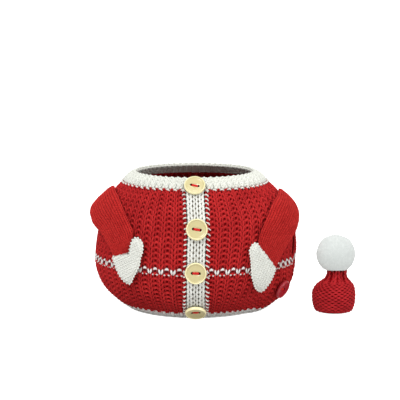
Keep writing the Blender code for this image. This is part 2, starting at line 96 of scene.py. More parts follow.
# %% Millimetres, and where the jacket stands
MM = 0.001
HAT_PLACE = np.array((118.0, -30.0))  # of the hat's middle, from the jacket's
hat_low, hat_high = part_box("hat")
JACKET_AXIS = np.array((hat_low + hat_high)[:2]) / 2 / MM - HAT_PLACE
print("the jacket's middle is at", JACKET_AXIS.round(1), "mm")


def placed(points):
    """Points in millimetres about the jacket's middle line, as metres in the shared frame."""
    points = np.asarray(points, float)
    return (points + (*JACKET_AXIS, 0.0)) * MM


# %% [markdown]
# ## The camera, the floor and the light
# The cosy is seen from the front and a little above, from more than a metre away, so that the lines stay
# almost parallel. A pale floor that curves up behind it, one broad lamp from the left, a weaker one from
# the right and one above give the soft, even light of a product shelf. The floor and the room show as
# plain white where the camera sees them directly, but light the cosy more dimly, so no shadow shows on
# the floor.

# %% Camera
CAMERA_BACK, CAMERA_HEIGHT = 1257.0, 276.0
CAMERA_SIDE, CAMERA_DIP = 2.2, 8.3
IMAGE_SIDE, FOCAL_IN_PIXELS = 400, 1445
SENSOR = 36.0


def add_camera():
    data = bpy.data.cameras.new("camera")
    data.sensor_width = SENSOR
    data.lens = FOCAL_IN_PIXELS / IMAGE_SIDE * SENSOR
    data.clip_end = 20
    camera = bpy.data.objects.new("camera", data)
    bpy.context.scene.collection.objects.link(camera)
    camera.location = placed((CAMERA_SIDE, -CAMERA_BACK, CAMERA_HEIGHT))
    camera.rotation_euler = (math.radians(90 - CAMERA_DIP), 0, 0)
    bpy.context.scene.camera = camera
    return camera


camera = add_camera()
print("camera at", [round(c, 3) for c in camera.location])


# %% Small helpers for shaders
def new_material(name, roughness=0.8):
    """A material with its shader, ready for colour and bump."""
    material = bpy.data.materials.new(name)
    material.use_nodes = True
    shader = material.node_tree.nodes["Principled BSDF"]
    shader.inputs["Roughness"].default_value = roughness
    return material, material.node_tree, shader


def add_node(tree, kind, wires=None, **settings):
    """A node with its settings, and each named input wired to a socket or set to a value."""
    made = tree.nodes.new(kind)
    for key, value in settings.items():
        setattr(made, key, value)
    for key, value in (wires or {}).items():
        if isinstance(value, bpy.types.NodeSocket):
            tree.links.new(value, made.inputs[key])
        else:
            made.inputs[key].default_value = value
    return made


def sum_of(tree, operation, a, b=0.0):
    """The outcome of one sum, such as ADD or MULTIPLY, on two numbers or sockets."""
    return add_node(tree, "ShaderNodeMath", {0: a, 1: b}, operation=operation).outputs[0]


def ranged(tree, value, low, high, to_low=0.0, to_high=1.0):
    """A value's place between low and high, spread from to_low to to_high."""
    wires = {"Value": value, "From Min": low, "From Max": high, "To Min": to_low, "To Max": to_high}
    return add_node(tree, "ShaderNodeMapRange", wires).outputs[0]


def blend(tree, share, first, second):
    """A colour between two, each a tuple of red, green and blue or a socket."""
    ends = [(*c, 1) if isinstance(c, tuple) else c for c in (first, second)]
    wires = {"Factor": share, "A": ends[0], "B": ends[1]}
    return add_node(tree, "ShaderNodeMix", wires, data_type="RGBA").outputs["Result"]


print("shader helpers: new_material, add_node, sum_of, ranged, blend")


# %% Floor
def add_floor():
    """A pale floor that sweeps up far behind the set."""
    wide, near, far, rise = 3.0, -2.0, 1.6, 2.2
    profile = [(near, 0.0), (far, 0.0)]
    bend = 0.8
    turns = np.linspace(0.1, math.pi / 2, 14)
    profile += [(far + bend * math.sin(a), bend - bend * math.cos(a)) for a in turns]
    profile.append((far + bend, bend + rise))
    points = [(x, y, z) for y, z in profile for x in (-wide, wide)]
    faces = [(2 * i, 2 * i + 1, 2 * i + 3, 2 * i + 2) for i in range(len(profile) - 1)]
    mesh = bpy.data.meshes.new("floor")
    mesh.from_pydata(points, [], faces)
    mesh.shade_smooth()
    floor = bpy.data.objects.new("floor", mesh)
    bpy.context.scene.collection.objects.link(floor)
    material, _, shader = new_material("pale floor", 0.9)
    shader.inputs["Base Color"].default_value = (0.70, 0.70, 0.70, 1)
    shader.inputs["Emission Color"].default_value = (1, 1, 1, 1)
    seen = add_node(material.node_tree, "ShaderNodeLightPath")
    material.node_tree.links.new(seen.outputs["Is Camera Ray"], shader.inputs["Emission Strength"])
    mesh.materials.append(material)
    floor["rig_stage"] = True
    return floor


floor = add_floor()
print("floor:", len(floor.data.polygons), "faces")


# %% Lights
def add_lamp(name, place, size, power, aim=(0, 0, 0.05)):
    data = bpy.data.lights.new(name, "AREA")
    data.energy = power
    data.size = size
    lamp = bpy.data.objects.new(name, data)
    bpy.context.scene.collection.objects.link(lamp)
    lamp.location = place
    lamp.rotation_euler = (Vector(aim) - Vector(place)).to_track_quat("-Z", "Y").to_euler()


def light_the_set():
    world = bpy.data.worlds.new("studio")
    bpy.context.scene.world = world
    world.use_nodes = True
    world.node_tree.nodes["Background"].inputs["Color"].default_value = (1, 1, 1, 1)
    seen = add_node(world.node_tree, "ShaderNodeLightPath")
    glow = ranged(world.node_tree, seen.outputs["Is Camera Ray"], 0.0, 1.0, 0.62, 1.0)
    world.node_tree.links.new(glow, world.node_tree.nodes["Background"].inputs["Strength"])
    add_lamp("key", (-0.7, -1.1, 1.3), 0.7, 19)
    add_lamp("fill", (1.2, -0.9, 0.7), 1.2, 11)
    add_lamp("top", (0.0, 0.3, 1.6), 1.0, 9)
    bpy.context.scene.view_settings.view_transform = "Standard"


light_the_set()
print("three lamps and a white room")

# %% [markdown]
# ## Wool
# Knitting wool is several fine plies twisted together, matt, and a little hairy, so its edge catches
# light that a smooth tube would not. The twist is drawn along each strand's own UV map: a wave that
# climbs slantwise round the tube gives the plies, painted light on their crowns and painted shade in
# their grooves, fine noise gives the hairs, and sheen gives the soft edge. Yarn that sinks into the cloth
# is painted darker, as painted shade. No two stitches take the dye quite alike, which comes from a number
# that each stitch carries.


# %% Shader for wool
def wool(name, light, dark, deep, sinks=(0.0, 1.0), plies=4.0):
    """Twisted yarn: painted light on the crown of a ply, painted shade in its grooves, and painted shade
    where it sinks in.
    """
    material, tree, shader = new_material(name, 0.85)
    strand = add_node(tree, "ShaderNodeUVMap", uv_map="strand")
    slant = add_node(tree, "ShaderNodeSeparateXYZ", {"Vector": strand.outputs["UV"]}).outputs
    turns = sum_of(tree, "ADD", slant["Y"], sum_of(tree, "MULTIPLY", slant["X"], plies))
    crown = sum_of(tree, "SINE", sum_of(tree, "MULTIPLY", turns, 2 * math.pi))
    ply = ranged(tree, crown, -1.0, 1.0, 0.0, 2.0)
    where = add_node(tree, "ShaderNodeTexCoord").outputs["Object"]
    hairs = add_node(tree, "ShaderNodeTexNoise", {"Vector": where, "Scale": 2400.0, "Detail": 4.0})
    patches = add_node(tree, "ShaderNodeTexNoise", {"Vector": where, "Scale": 45.0})
    tint = add_node(tree, "ShaderNodeAttribute", attribute_name="tint")
    dyed = sum_of(tree, "ADD", tint.outputs["Fac"], patches.outputs["Fac"])
    # Painted light and shade of the plies, light on each crown and dark in each groove, mixed with the dye's
    # own uneven tone.
    shade = ranged(tree, sum_of(tree, "ADD", ply, dyed), 0.3, 3.1)
    # Painted shade: the deep colour takes over where the yarn sinks into the cloth.
    sunk = add_node(tree, "ShaderNodeAttribute", attribute_name="sunk")
    hidden = ranged(tree, sunk.outputs["Fac"], *sinks)
    colour = blend(tree, hidden, blend(tree, shade, dark, light), deep)
    height = sum_of(tree, "ADD", ply, hairs.outputs["Fac"])
    bump = add_node(tree, "ShaderNodeBump", {"Height": height, "Strength": 0.6, "Distance": 0.22 * MM})
    tree.links.new(colour, shader.inputs["Base Color"])
    tree.links.new(bump.outputs["Normal"], shader.inputs["Normal"])
    shader.inputs["Sheen Weight"].default_value = 0.12
    shader.inputs["Sheen Roughness"].default_value = 0.4
    shader.inputs["Sheen Tint"].default_value = (*light, 1)
    shader.inputs["Specular IOR Level"].default_value = 0.15
    return material


# Each wool gives light and dark, the painted light and shade of its plies, then the painted shade where yarn
# sinks in.
RED_WOOL = wool("red wool", (0.56, 0.024, 0.024), (0.27, 0.004, 0.006), (0.15, 0.001, 0.002))
# A lighter red than the body's wool; its colour is partly painted light, for light falling on the sleeves.
SLEEVE_WOOL = wool("sleeve wool", (0.84, 0.044, 0.038), (0.44, 0.009, 0.009), (0.12, 0.0, 0.001))
WHITE_WOOL = wool("white wool", (0.80, 0.81, 0.77), (0.60, 0.60, 0.55), (0.26, 0.23, 0.18))
CLOSE_WOOL = wool("white wool, close knitted", (0.84, 0.85, 0.80), (0.72, 0.73, 0.67), (0.50, 0.50, 0.45))
COLLAR_WOOL = wool("white wool of the collar", (0.72, 0.73, 0.67), (0.64, 0.65, 0.59), (0.58, 0.58, 0.52))
# The sunk parts of this white yarn turn dark red sharply: painted shade.
BELT_WOOL = wool(
    "white wool among red", (0.80, 0.80, 0.77), (0.58, 0.57, 0.55), (0.20, 0.01, 0.012), sinks=(0.13, 0.21)
)
# Brighter than the other white wool: painted light, standing for light thrown up from the table onto the
# hem.
HEM_WOOL_PAINTED_LIGHT = wool("white wool of the hem", (0.95, 0.95, 0.92), (0.84, 0.84, 0.79), (0.58, 0.55, 0.52))
HAT_WOOL = wool("red wool of the hat", (0.54, 0.022, 0.027), (0.24, 0.003, 0.006), (0.07, 0.0, 0.002))
WOOLS = (RED_WOOL, SLEEVE_WOOL, WHITE_WOOL, CLOSE_WOOL, COLLAR_WOOL, BELT_WOOL, HEM_WOOL_PAINTED_LIGHT, HAT_WOOL)
print("wools:", ", ".join(w.name for w in WOOLS))

# %% [markdown]
# ## A strand of yarn
# All yarn here is the same simple thing: a round tube led through a few points. The points are joined by
# a smooth curve, a ring of corners is set square to the curve at each step, and both ends are closed. Six
# sides are enough for wool a millimetre and a half thick.


# %% Smooth curves and tubes
def smooth_through(rows, steps=24):
    """Points of a Catmull-Rom curve through the rows."""
    known = np.array(rows, float)
    padded = np.vstack([2 * known[0] - known[1], known, 2 * known[-1] - known[-2]])
    found = []
    for a, b, c, d in zip(padded, padded[1:], padded[2:], padded[3:]):
        for t in np.linspace(0, 1, steps, endpoint=False):
            bend = (2 * a - 5 * b + 4 * c - d) * t**2 + (3 * b - a - 3 * c + d) * t**3
            found.append((2 * b + (c - a) * t + bend) / 2)
    return np.array([*found, known[-1]])


class Yarn:
    """Strands gathered into one mesh, with a UV map that follows each: once round, and along by length."""

    def __init__(self):
        self.points, self.faces, self.uvs = [], [], []

    def strand(
        self, route, radius=0.75, sides=6, steps=2, ends=(True, True), twist_length=2.2, shares=(1, 1)
    ):
        """A tube along a route. An end that is left open meets its mirror image, so it points along x."""
        line = smooth_through(route, steps)
        along = np.linspace(0, 1, len(line))
        thickness = radius * np.interp(along, np.linspace(0, 1, len(shares)), shares)
        tangents = np.gradient(line, axis=0)
        for end, at in zip(ends, (0, -1)):
            if not end:
                tangents[at, 1:] = 0
        tangents /= np.linalg.norm(tangents, axis=1)[:, None]
        across = np.array((0, 0, 1.0)) if abs(tangents[0][2]) < 0.95 else np.array((0, 1.0, 0))
        along = np.r_[0, np.cumsum(np.linalg.norm(np.diff(line, axis=0), axis=1))] / twist_length
        first = len(self.points)
        for i, (point, tangent, thick) in enumerate(zip(line, tangents, thickness)):
            if i == len(line) - 1 and not ends[1]:
                across = np.array((0, 0, 1.0))
            across = across - tangent * across.dot(tangent)
            across /= np.linalg.norm(across)
            up = np.cross(tangent, across)
            for k in range(sides):
                turn = 2 * math.pi * k / sides
                self.points.append(point + thick * (across * math.cos(turn) + up * math.sin(turn)))
        for i in range(len(line) - 1):
            for k in range(sides):
                ring, after = first + i * sides, first + (i + 1) * sides
                n = (k + 1) % sides
                self.faces.append((ring + k, ring + n, after + n, after + k))
                self.uvs += [
                    (k / sides, along[i]),
                    ((k + 1) / sides, along[i]),
                    ((k + 1) / sides, along[i + 1]),
                    (k / sides, along[i + 1]),
                ]
        last = first + (len(line) - 1) * sides
        caps = ((ends[0], first, range(sides - 1, -1, -1)), (ends[1], last, range(sides)))
        for closed, start, order in caps:
            if closed:
                self.faces.append(tuple(start + k for k in order))
                self.uvs += [(0.5, 0.0)] * sides
        return self

    def mesh(self, name):
        made = bpy.data.meshes.new(name)
        made.from_pydata([tuple(p) for p in self.points], [], self.faces)
        made.uv_layers.new(name="strand").data.foreach_set("uv", np.array(self.uvs, np.float32).ravel())
        made.shade_smooth()
        return made


def as_object(name, mesh, material=None):
    piece = bpy.data.objects.new(name, mesh)
    bpy.context.scene.collection.objects.link(piece)
    if material:
        mesh.materials.append(material)
    return piece


def laid(name, yarn, material):
    """Strands in millimetres about the jacket's middle line, as an object."""
    yarn.points = list(placed(yarn.points))
    return as_object(name, yarn.mesh(name), material)


def pattern(name, yarn, width, height):
    """A stitch as a hidden object, measured in widths and heights of a stitch, with its depth in metres."""
    yarn.points = [(x / width, y / height, z * MM) for x, y, z in yarn.points]
    stitch = as_object(name, yarn.mesh(name))
    stitch.hide_render = True
    return stitch


print("a smooth curve through 3 points has", len(smooth_through(((0, 0), (1, 1), (2, 0)))), "points")


# %% [markdown]
# ## One stitch of the rib
# The jacket is knitted in rib: a column of smooth V shapes stands up, and beside it a column of purl lies
# back in a valley, with a small dark hole between one purl and the next. The repeat is drawn once, as
# four strands about the middle of a purl: at each side one leg of the V next door, and between them the
# two halves of the purl's loop, which bump over the hole, run down beside it and dive under the V. Sizes
# are in millimetres, x across from the middle of the purl, y up the column and z out of the cloth. Outer
# ends lie inside the cloth. The two halves of the loop are left open where they meet, and are welded
# there.

# %% The rib stitch
RIB, ROW = 9.2, 4.44  # width of one rib and height of one row where the jacket is widest
PURL = RIB / 2  # from the V's middle to the purl's
LEG_YARN, LOOP_YARN = 0.92, 0.92  # radii


def leg(side, middle=0.0):
    """One leg of a V, from inside the stitch below, up and out, and back into the cloth."""
    route = ((0.46, -0.24, -2.7), (0.62, 0.04, -1.40), (0.92, 0.36, -1.00), (1.26, 0.70, -1.05))
    route += ((1.44, 0.98, -1.6), (1.30, 1.24, -2.7))
    return [(middle + side * x, y * ROW, z) for x, y, z in route]


def purl_loop(side):
    """Half a purl loop: the bump over the hole, down one side of it, and out to the V."""
    route = ((0.0, 1.06, -1.20), (0.85, 1.00, -1.35), (1.52, 0.80, -1.65), (1.66, 0.46, -1.85))
    route += ((1.50, 0.12, -2.30), (2.05, -0.12, -1.45), (2.80, -0.26, -1.55), (3.3, -0.34, -2.5))
    return [(side * x, y * ROW, z) for x, y, z in route]


BUMP = (1.55, 1.35, 1.0, 1.0, 0.95, 1.0, 0.95, 0.9)  # the loop is fullest where it crosses the purl


def rib_stitch(name, plump=1.0, fullness=BUMP):
    yarn = Yarn()
    for side in (-1, 1):
        yarn.strand(leg(-side, side * PURL), LEG_YARN * plump, sides=5, steps=1)
        loop = purl_loop(side)
        yarn.strand(loop, LOOP_YARN * plump, sides=5, steps=1, ends=(False, True), shares=fullness)
    return pattern(name, yarn, RIB, ROW)


RIB_STITCH = rib_stitch("rib stitch")
print("one rib stitch:", len(RIB_STITCH.data.polygons), "faces")

# %% [markdown]
# ## A machine that knits
# Geometry Nodes make a good knitting machine. The tree lays one stitch at each place of a flat grid,
# columns across and rows up, gives each a number for its dye, and then wraps the whole flat knitting on a
# cloth: for each corner it looks up the place on the cloth's UV map, takes the point and the outward
# direction there, and sets the corner as far out from it as the stitch is deep. So the yarn bends with
# the cloth and never breaks between stitches. A little noise makes it uneven, and stitches are left out
# where the cloth is marked bare. Rows of another colour are picked out by their number: the first and
# last rows take the edge's wool, and the belt's row takes white wool. How deep yarn is sunk is stored on
# it, for the shader to paint it darker as painted shade. Last, open ends that meet are welded.


# %% Helpers for trees
def new_tree(name, output, **inputs):
    """A tree of Geometry Nodes with one output, its inputs named by kind, and those inputs' sockets."""
    tree = bpy.data.node_groups.new(name, "GeometryNodeTree")
    for kind, labels in inputs.items():
        for label in labels:
            tree.interface.new_socket(label, in_out="INPUT", socket_type=f"NodeSocket{kind}")
    tree.interface.new_socket(output, in_out="OUTPUT", socket_type="NodeSocketGeometry")
    return tree, tree.nodes.new("NodeGroupInput").outputs


def give_out(tree, geometry):
    """Leads a geometry to the output of its tree."""
    tree.links.new(geometry, tree.nodes.new("NodeGroupOutput").inputs[0])
    return tree


def stored(tree, name, kind="FLOAT_VECTOR"):
    """What a mesh keeps under a name."""
    return add_node(tree, "GeometryNodeInputNamedAttribute", {"Name": name}, data_type=kind).outputs[0]


def with_number(tree, geometry, name, value, domain="POINT"):
    """A geometry that keeps a number under a name."""
    wires = {"Geometry": geometry, "Name": name, "Value": value}
    node = add_node(tree, "GeometryNodeStoreNamedAttribute", wires, data_type="FLOAT", domain=domain)
    return node.outputs[0]


def with_dye(tree, geometry, seed, domain="POINT"):
    """A geometry that keeps a number from 0 to 1, drawn by chance, for how it took the dye."""
    dye = add_node(tree, "FunctionNodeRandomValue", {"Seed": seed}, data_type="FLOAT")
    return with_number(tree, geometry, "tint", dye.outputs[1], domain)


def vector_sum(tree, operation, a, b):
    """The outcome of one sum on a vector, with another or, for SCALE, with a number."""
    wires = {0: a, "Scale" if operation == "SCALE" else 1: b}
    return add_node(tree, "ShaderNodeVectorMath", wires, operation=operation).outputs[0]


def in_wool(tree, geometry, wool, chosen=True):
    """A geometry with a wool on its chosen faces."""
    wires = {"Geometry": geometry, "Selection": chosen, "Material": wool}
    return add_node(tree, "GeometryNodeSetMaterial", wires).outputs[0]


print("tree helpers: new_tree, give_out, stored, with_number, with_dye, vector_sum, in_wool")


# %% The knitting tree
def knitting_tree():
    tree, given = new_tree(
        "knit on a cloth",
        "Knitting",
        Geometry=("Cloth",),
        Int=("Columns", "Rows", "White Rows Below", "White Rows Above", "White Belt", "Seed"),
        Float=("Unevenness", "Deep"),
        Object=("Stitch",),
        Material=("Wool", "White Wool", "Edge Wool"),
    )

    # A flat grid of places, each with the number of its row and its dye.
    wide = sum_of(tree, "SUBTRACT", given["Columns"], 1.0)
    tall = sum_of(tree, "SUBTRACT", given["Rows"], 1.0)
    wires = {"Size X": wide, "Size Y": tall, "Vertices X": given["Columns"], "Vertices Y": given["Rows"]}
    grid = add_node(tree, "GeometryNodeMeshGrid", wires)
    middle = (sum_of(tree, "MULTIPLY", size, 0.5) for size in (given["Columns"], tall))
    middle = add_node(tree, "ShaderNodeCombineXYZ", dict(zip("XY", middle)))
    wires = {"Geometry": grid.outputs["Mesh"], "Translation": middle.outputs[0]}
    moved = add_node(tree, "GeometryNodeTransform", wires)
    place = add_node(tree, "GeometryNodeInputPosition").outputs[0]
    apart = add_node(tree, "ShaderNodeSeparateXYZ", {0: place}).outputs
    places = with_dye(tree, with_number(tree, moved.outputs[0], "row", apart["Y"]), given["Seed"])
    maps = stored(tree, "cloth")

    def on_cloth(rise, value):
        """A value of the cloth, at the place that this corner has in the flat knitting."""
        height = sum_of(tree, "ADD", apart["Y"], rise)
        shares = (
            sum_of(tree, "DIVIDE", apart["X"], given["Columns"]),
            sum_of(tree, "DIVIDE", height, given["Rows"]),
        )
        over, up = (add_node(tree, "ShaderNodeClamp", {0: share, 1: 2e-5, 2: 0.99998}) for share in shares)
        look_up = add_node(tree, "ShaderNodeCombineXYZ", {"X": over.outputs[0], "Y": up.outputs[0]})
        wires = {"Mesh": given["Cloth"], "Value": value}
        wires |= {"Source UV Map": maps, "Sample UV": look_up.outputs[0]}
        return add_node(tree, "GeometryNodeSampleUVSurface", wires, data_type="FLOAT_VECTOR").outputs[0]

    # A stitch at each place that is not bare, then all of them as plain mesh.
    bare = add_node(tree, "ShaderNodeSeparateXYZ", {0: on_cloth(0.5, stored(tree, "bare"))}).outputs["X"]
    kept = add_node(tree, "FunctionNodeCompare", {"A": bare, "B": 0.5}, operation="LESS_THAN")
    stitch = add_node(tree, "GeometryNodeObjectInfo", {"Object": given["Stitch"]})
    wires = {"Points": places, "Selection": kept.outputs[0], "Instance": stitch.outputs["Geometry"]}
    cast = add_node(tree, "GeometryNodeInstanceOnPoints", wires)
    flat = add_node(tree, "GeometryNodeRealizeInstances", {0: cast.outputs[0]})

    # Each corner is wrapped on the cloth, and set a little uneven.
    # How deep each corner lies is stored as sunk, for the wool's painted shade.
    depth = apart["Z"]
    sunk = sum_of(tree, "MULTIPLY", sum_of(tree, "DIVIDE", depth, given["Deep"]), -1.0)
    shaded = with_number(tree, flat.outputs[0], "sunk", sunk)
    raised = vector_sum(tree, "SCALE", on_cloth(0.0, stored(tree, "outward")), depth)
    target = vector_sum(tree, "ADD", on_cloth(0.0, place), raised)
    wobble = add_node(tree, "ShaderNodeTexNoise", {"Vector": target, "Scale": 170.0, "Detail": 1.0})
    centred = vector_sum(tree, "SUBTRACT", wobble.outputs["Color"], (0.5, 0.5, 0.5))
    slack = vector_sum(tree, "SCALE", centred, given["Unevenness"])
    wires = {"Geometry": shaded, "Position": target, "Offset": slack}
    shown = add_node(tree, "GeometryNodeSetPosition", wires).outputs[0]

    # Wool for all of it, then another for the first rows, the last rows and the belt.
    shown = in_wool(tree, shown, given["Wool"])
    row = stored(tree, "row", "FLOAT")
    for label, operation in (("White Rows Below", "LESS_THAN"), ("White Rows Above", "GREATER_THAN")):
        wires = {"A": sum_of(tree, "ADD", row, 0.5), "B": given[label]}
        chosen = add_node(tree, "FunctionNodeCompare", wires, operation=operation)
        shown = in_wool(tree, shown, given["Edge Wool"], chosen.outputs[0])
    off = sum_of(tree, "ABSOLUTE", sum_of(tree, "SUBTRACT", row, given["White Belt"]))
    chosen = add_node(tree, "FunctionNodeCompare", {"A": off, "B": 0.3}, operation="LESS_THAN")
    shown = in_wool(tree, shown, given["White Wool"], chosen.outputs[0])
    welded = add_node(tree, "GeometryNodeMergeByDistance", {"Geometry": shown, "Distance": 0.02 * MM})
    return give_out(tree, welded.outputs[0])


KNITTING = knitting_tree()
print("knitting tree:", len(KNITTING.nodes), "nodes")


# %% Run a tree and keep plain mesh
def run_tree(name, source, tree, **inputs):
    """The result of a tree on an object, as a plain mesh; an underscore in an input's name is a space."""
    modifier = source.modifiers.new("made by nodes", "NODES")
    modifier.node_group = tree
    sockets = {s.name: s.identifier for s in tree.interface.items_tree if s.in_out == "INPUT"}
    for label, value in inputs.items():
        modifier[sockets[label.replace("_", " ")]] = value
    depsgraph = bpy.context.evaluated_depsgraph_get()
    mesh = bpy.data.meshes.new_from_object(source.evaluated_get(depsgraph), depsgraph=depsgraph)
    source.modifiers.remove(modifier)
    mesh.name = name
    made = as_object(name, mesh)
    print(f"{name}: {len(mesh.polygons)} faces")
    return made


# %% [markdown]
# ## The cloths to knit on
# A cloth here is a grid of points with a UV map that runs from 0 to 1 across and up, and the outward
# direction stored at each point. It is not the finished surface. It only says where the knitting goes,
# and a copy of it, set a little inward and given a thickness, closes the back of the stitches.


# %% A cloth from a grid of points
def cloth_from(name, points, around=False):
    """A grid mesh from an array of points, rows up and columns across, with its map and directions."""
    points = np.asarray(points, float)
    rows, columns = points.shape[:2]
    d_across = np.gradient(points, axis=1)
    if around:
        d_across[:, 0] = d_across[:, -1] = points[:, 1] - points[:, -2]
    d_up = np.gradient(points, axis=0)
    outward = np.cross(d_across, d_up)
    outward /= np.linalg.norm(outward, axis=2)[..., None] + 1e-12
    faces = []
    for r in range(rows - 1):
        for c in range(columns - 1):
            a = r * columns + c
            faces.append((a, a + 1, a + columns + 1, a + columns))
    mesh = bpy.data.meshes.new(name)
    mesh.from_pydata(placed(points).reshape(-1, 3).tolist(), [], faces)
    v, u = np.meshgrid(np.linspace(0, 1, rows), np.linspace(0, 1, columns), indexing="ij")
    uv = np.stack((u, v), axis=2).reshape(-1, 2)
    corners = np.array([i for f in faces for i in f])
    mesh.uv_layers.new(name="cloth").data.foreach_set("uv", uv[corners].astype(np.float32).ravel())
    mesh.attributes.new("outward", "FLOAT_VECTOR", "POINT").data.foreach_set(
        "vector", outward.reshape(-1, 3).astype(np.float32).ravel()
    )
    cloth = as_object(name, mesh)
    cloth.hide_render = True
    return cloth


def knit(name, grid, stitch, columns, rows, wool, around=False, bare=None, seed=1, deep=4.2, **white):
    """Knits a stitch over a grid of points, but not where bare is true.

    Rows count from 0 at the bottom. Those below White_Rows_Below, those above White_Rows_Above and the one
    at White_Belt may be white. Around says that the grid's first and last columns meet.
    """
    cloth = cloth_from(f"cloth of {name}", grid, around)
    if bare is not None:
        marks = cloth.data.attributes.new("bare", "FLOAT_VECTOR", "POINT")
        marks.data.foreach_set("vector", np.repeat(np.asarray(bare, np.float32).reshape(-1), 3))
    white = {"White_Rows_Below": 0, "White_Rows_Above": 999, "White_Belt": -9} | white
    made = run_tree(
        name,
        cloth,
        KNITTING,
        Columns=columns,
        Rows=rows,
        Seed=seed,
        Unevenness=0.8 * MM,
        Deep=deep * MM,
        Stitch=stitch,
        Wool=wool,
        White_Wool=BELT_WOOL,
        Edge_Wool=HEM_WOOL_PAINTED_LIGHT,
        **white,
    )
    bpy.data.objects.remove(cloth)
    return made


print("knitting helpers: cloth_from, knit")


# %% [markdown]
# ## The shape of the jacket
# Worn, the jacket is stretched over the round belly of a pot. Its outline from hem to neck is a short
# table of radii and heights, with a smooth curve led through them. It leans a little, and the cloth is a
# little slack, so no part is quite round. At the spout's side the ribs are pushed apart round a
# lens-shaped slit. At the handle's side they part too, and below the handle the front is drawn across the
# back and buttoned.

# %% Outline of the jacket
HEM_RADIUS, BELLY_RADIUS, NECK_RADIUS = 57.5, 89.2, 52.0
SHOULDER, SHOULDER_RADIUS, JACKET_HEIGHT = 108.6, 65.5, 119.0
COLLAR_FOOT = 111.2  # where the red ends, a little above the shoulder's bend
SEWN = 0.3  # between two pieces that are sewn together
OUTLINE = (
    (HEM_RADIUS, 0),
    (66.0, 4.0),
    (80.6, 17.0),
    (87.3, 30.0),
    (BELLY_RADIUS, 40.0),
    (88.8, 51.0),
    (87.0, 69.0),
    (82.5, 86.0),
    (76.0, 97.0),
    (SHOULDER_RADIUS, SHOULDER),
    (NECK_RADIUS, JACKET_HEIGHT),
)
CURVE = smooth_through(OUTLINE)
ARC = np.r_[0, np.cumsum(np.hypot(*np.diff(CURVE, axis=0).T))]
BODY_TOP = np.interp(COLLAR_FOOT, CURVE[:, 1], ARC) - SEWN


def arc_at(height):
    """Distance along the outline from the hem up to a height."""
    return np.interp(height, CURVE[:, 1], ARC)


def ease(value, low, high):
    """0 below low, 1 above high, smooth between."""
    t = np.clip((value - low) / (high - low), 0, 1)
    return t * t * (3 - 2 * t)


def outline(arc):
    """Radius and height at distances along the outline, and the outward direction there."""
    radius, height = (np.interp(arc, ARC, CURVE[:, i]) for i in (0, 1))
    ahead, behind = np.minimum(arc + 1, ARC[-1]), np.maximum(arc - 1, 0)
    across, rise = (np.interp(ahead, ARC, CURVE[:, i]) - np.interp(behind, ARC, CURVE[:, i]) for i in (0, 1))
    length = np.hypot(across, rise)
    return radius, height, rise / length, -across / length


def on_jacket(angle, arc, proud=0.0):
    """Points on the jacket's outer face, or proud of it. Angles in degrees: 0 in front, 90 at the handle."""
    radius, height, out, up = outline(arc)
    turn = np.radians(angle)
    slack = ease(height, 0, 35) * (1 - ease(height, 80, JACKET_HEIGHT))
    radius = radius + slack * (0.5 * np.sin(3 * turn + 0.6) + 0.35 * np.sin(7 * turn + height / 14))
    lean = np.interp(height, (0, 45, 80, JACKET_HEIGHT), (-1.4, -1.3, -0.4, -2.6))
    reach = radius + proud * out
    return np.stack(
        np.broadcast_arrays(lean + reach * np.sin(turn), -reach * np.cos(turn), height + proud * up), axis=-1
    )


print(f"from hem to collar the cloth is {BODY_TOP:.1f} mm long")

# %% The jacket's ribs and slits
BAND_WIDTH = 15.6
BODY_RIBS = 58  # of 60 in a full round; the front band takes the room of two
BODY_ROWS = round(BODY_TOP / ROW)
SPOUT_RIB, HANDLE_RIB = 44, 12  # ribs from the front band, counted by the handle's side
BACK_RIB = 28  # halfway between the slits, where two panels of the back meet
SPOUT_SLIT, HANDLE_SLIT = (44.0, 99.0, 32.0), (40.0, 99.0, 20.0)  # foot, top and width
LAP, LAP_LIFT = 20.0, 2.1
LAP_ANGLE, HANDLE_ANGLE, SEAM_ANGLE = 61.0, 90.0, 80.0
DRIFT_RIBS, PARTED_RIBS = 22, 6


def slit_half(height, foot, top, width):
    """Half the width of a lens-shaped slit."""
    share = np.clip((height - foot) / (top - foot), 0, 1)
    return width / 2 * np.sin(np.pi * share) ** 0.7


def body_points(ribs, arc, beyond_handle, beyond_spout, proud=0.0):
    """Points of the body. beyond_handle and beyond_spout are 1 past that slit and -1 before it."""
    radius, height, _, _ = outline(arc)
    drawn = [np.sin(np.pi * np.clip(far / 8, 0, 1)) for far in (ribs, BODY_RIBS - ribs)]
    ribs = ribs + 0.25 * drawn[0] - 0.45 * drawn[1]  # the buttons pull the nearest ribs apart
    edge = np.degrees(np.arcsin((BAND_WIDTH / 2 + SEWN) / radius))
    turn = np.interp(height, (6, 90), (LAP_ANGLE, HANDLE_ANGLE)) - SEAM_ANGLE
    fading = np.clip(1 - (ribs - HANDLE_RIB) / DRIFT_RIBS, 0, 1)
    share = np.where(ribs <= HANDLE_RIB, ribs / HANDLE_RIB, fading)
    angle = edge + (360 - 2 * edge) * ribs / BODY_RIBS + turn * share
    lapped = 1 - ease(height, 28, 41)
    handle = beyond_handle * (slit_half(height, *HANDLE_SLIT) - LAP / 2 * lapped)
    spout = beyond_spout * slit_half(height, *SPOUT_SLIT)
    for shift, at in ((handle, HANDLE_RIB), (spout, SPOUT_RIB)):
        angle = angle + np.degrees(shift * (1 - ease(abs(ribs - at), 0, PARTED_RIBS)) / radius)
    over = (1 - ease(height, 38, 52)) * (1 - ease(abs(ribs - HANDLE_RIB), 2.0, 4.5))
    return on_jacket(angle, arc, proud - beyond_handle * LAP_LIFT * over)


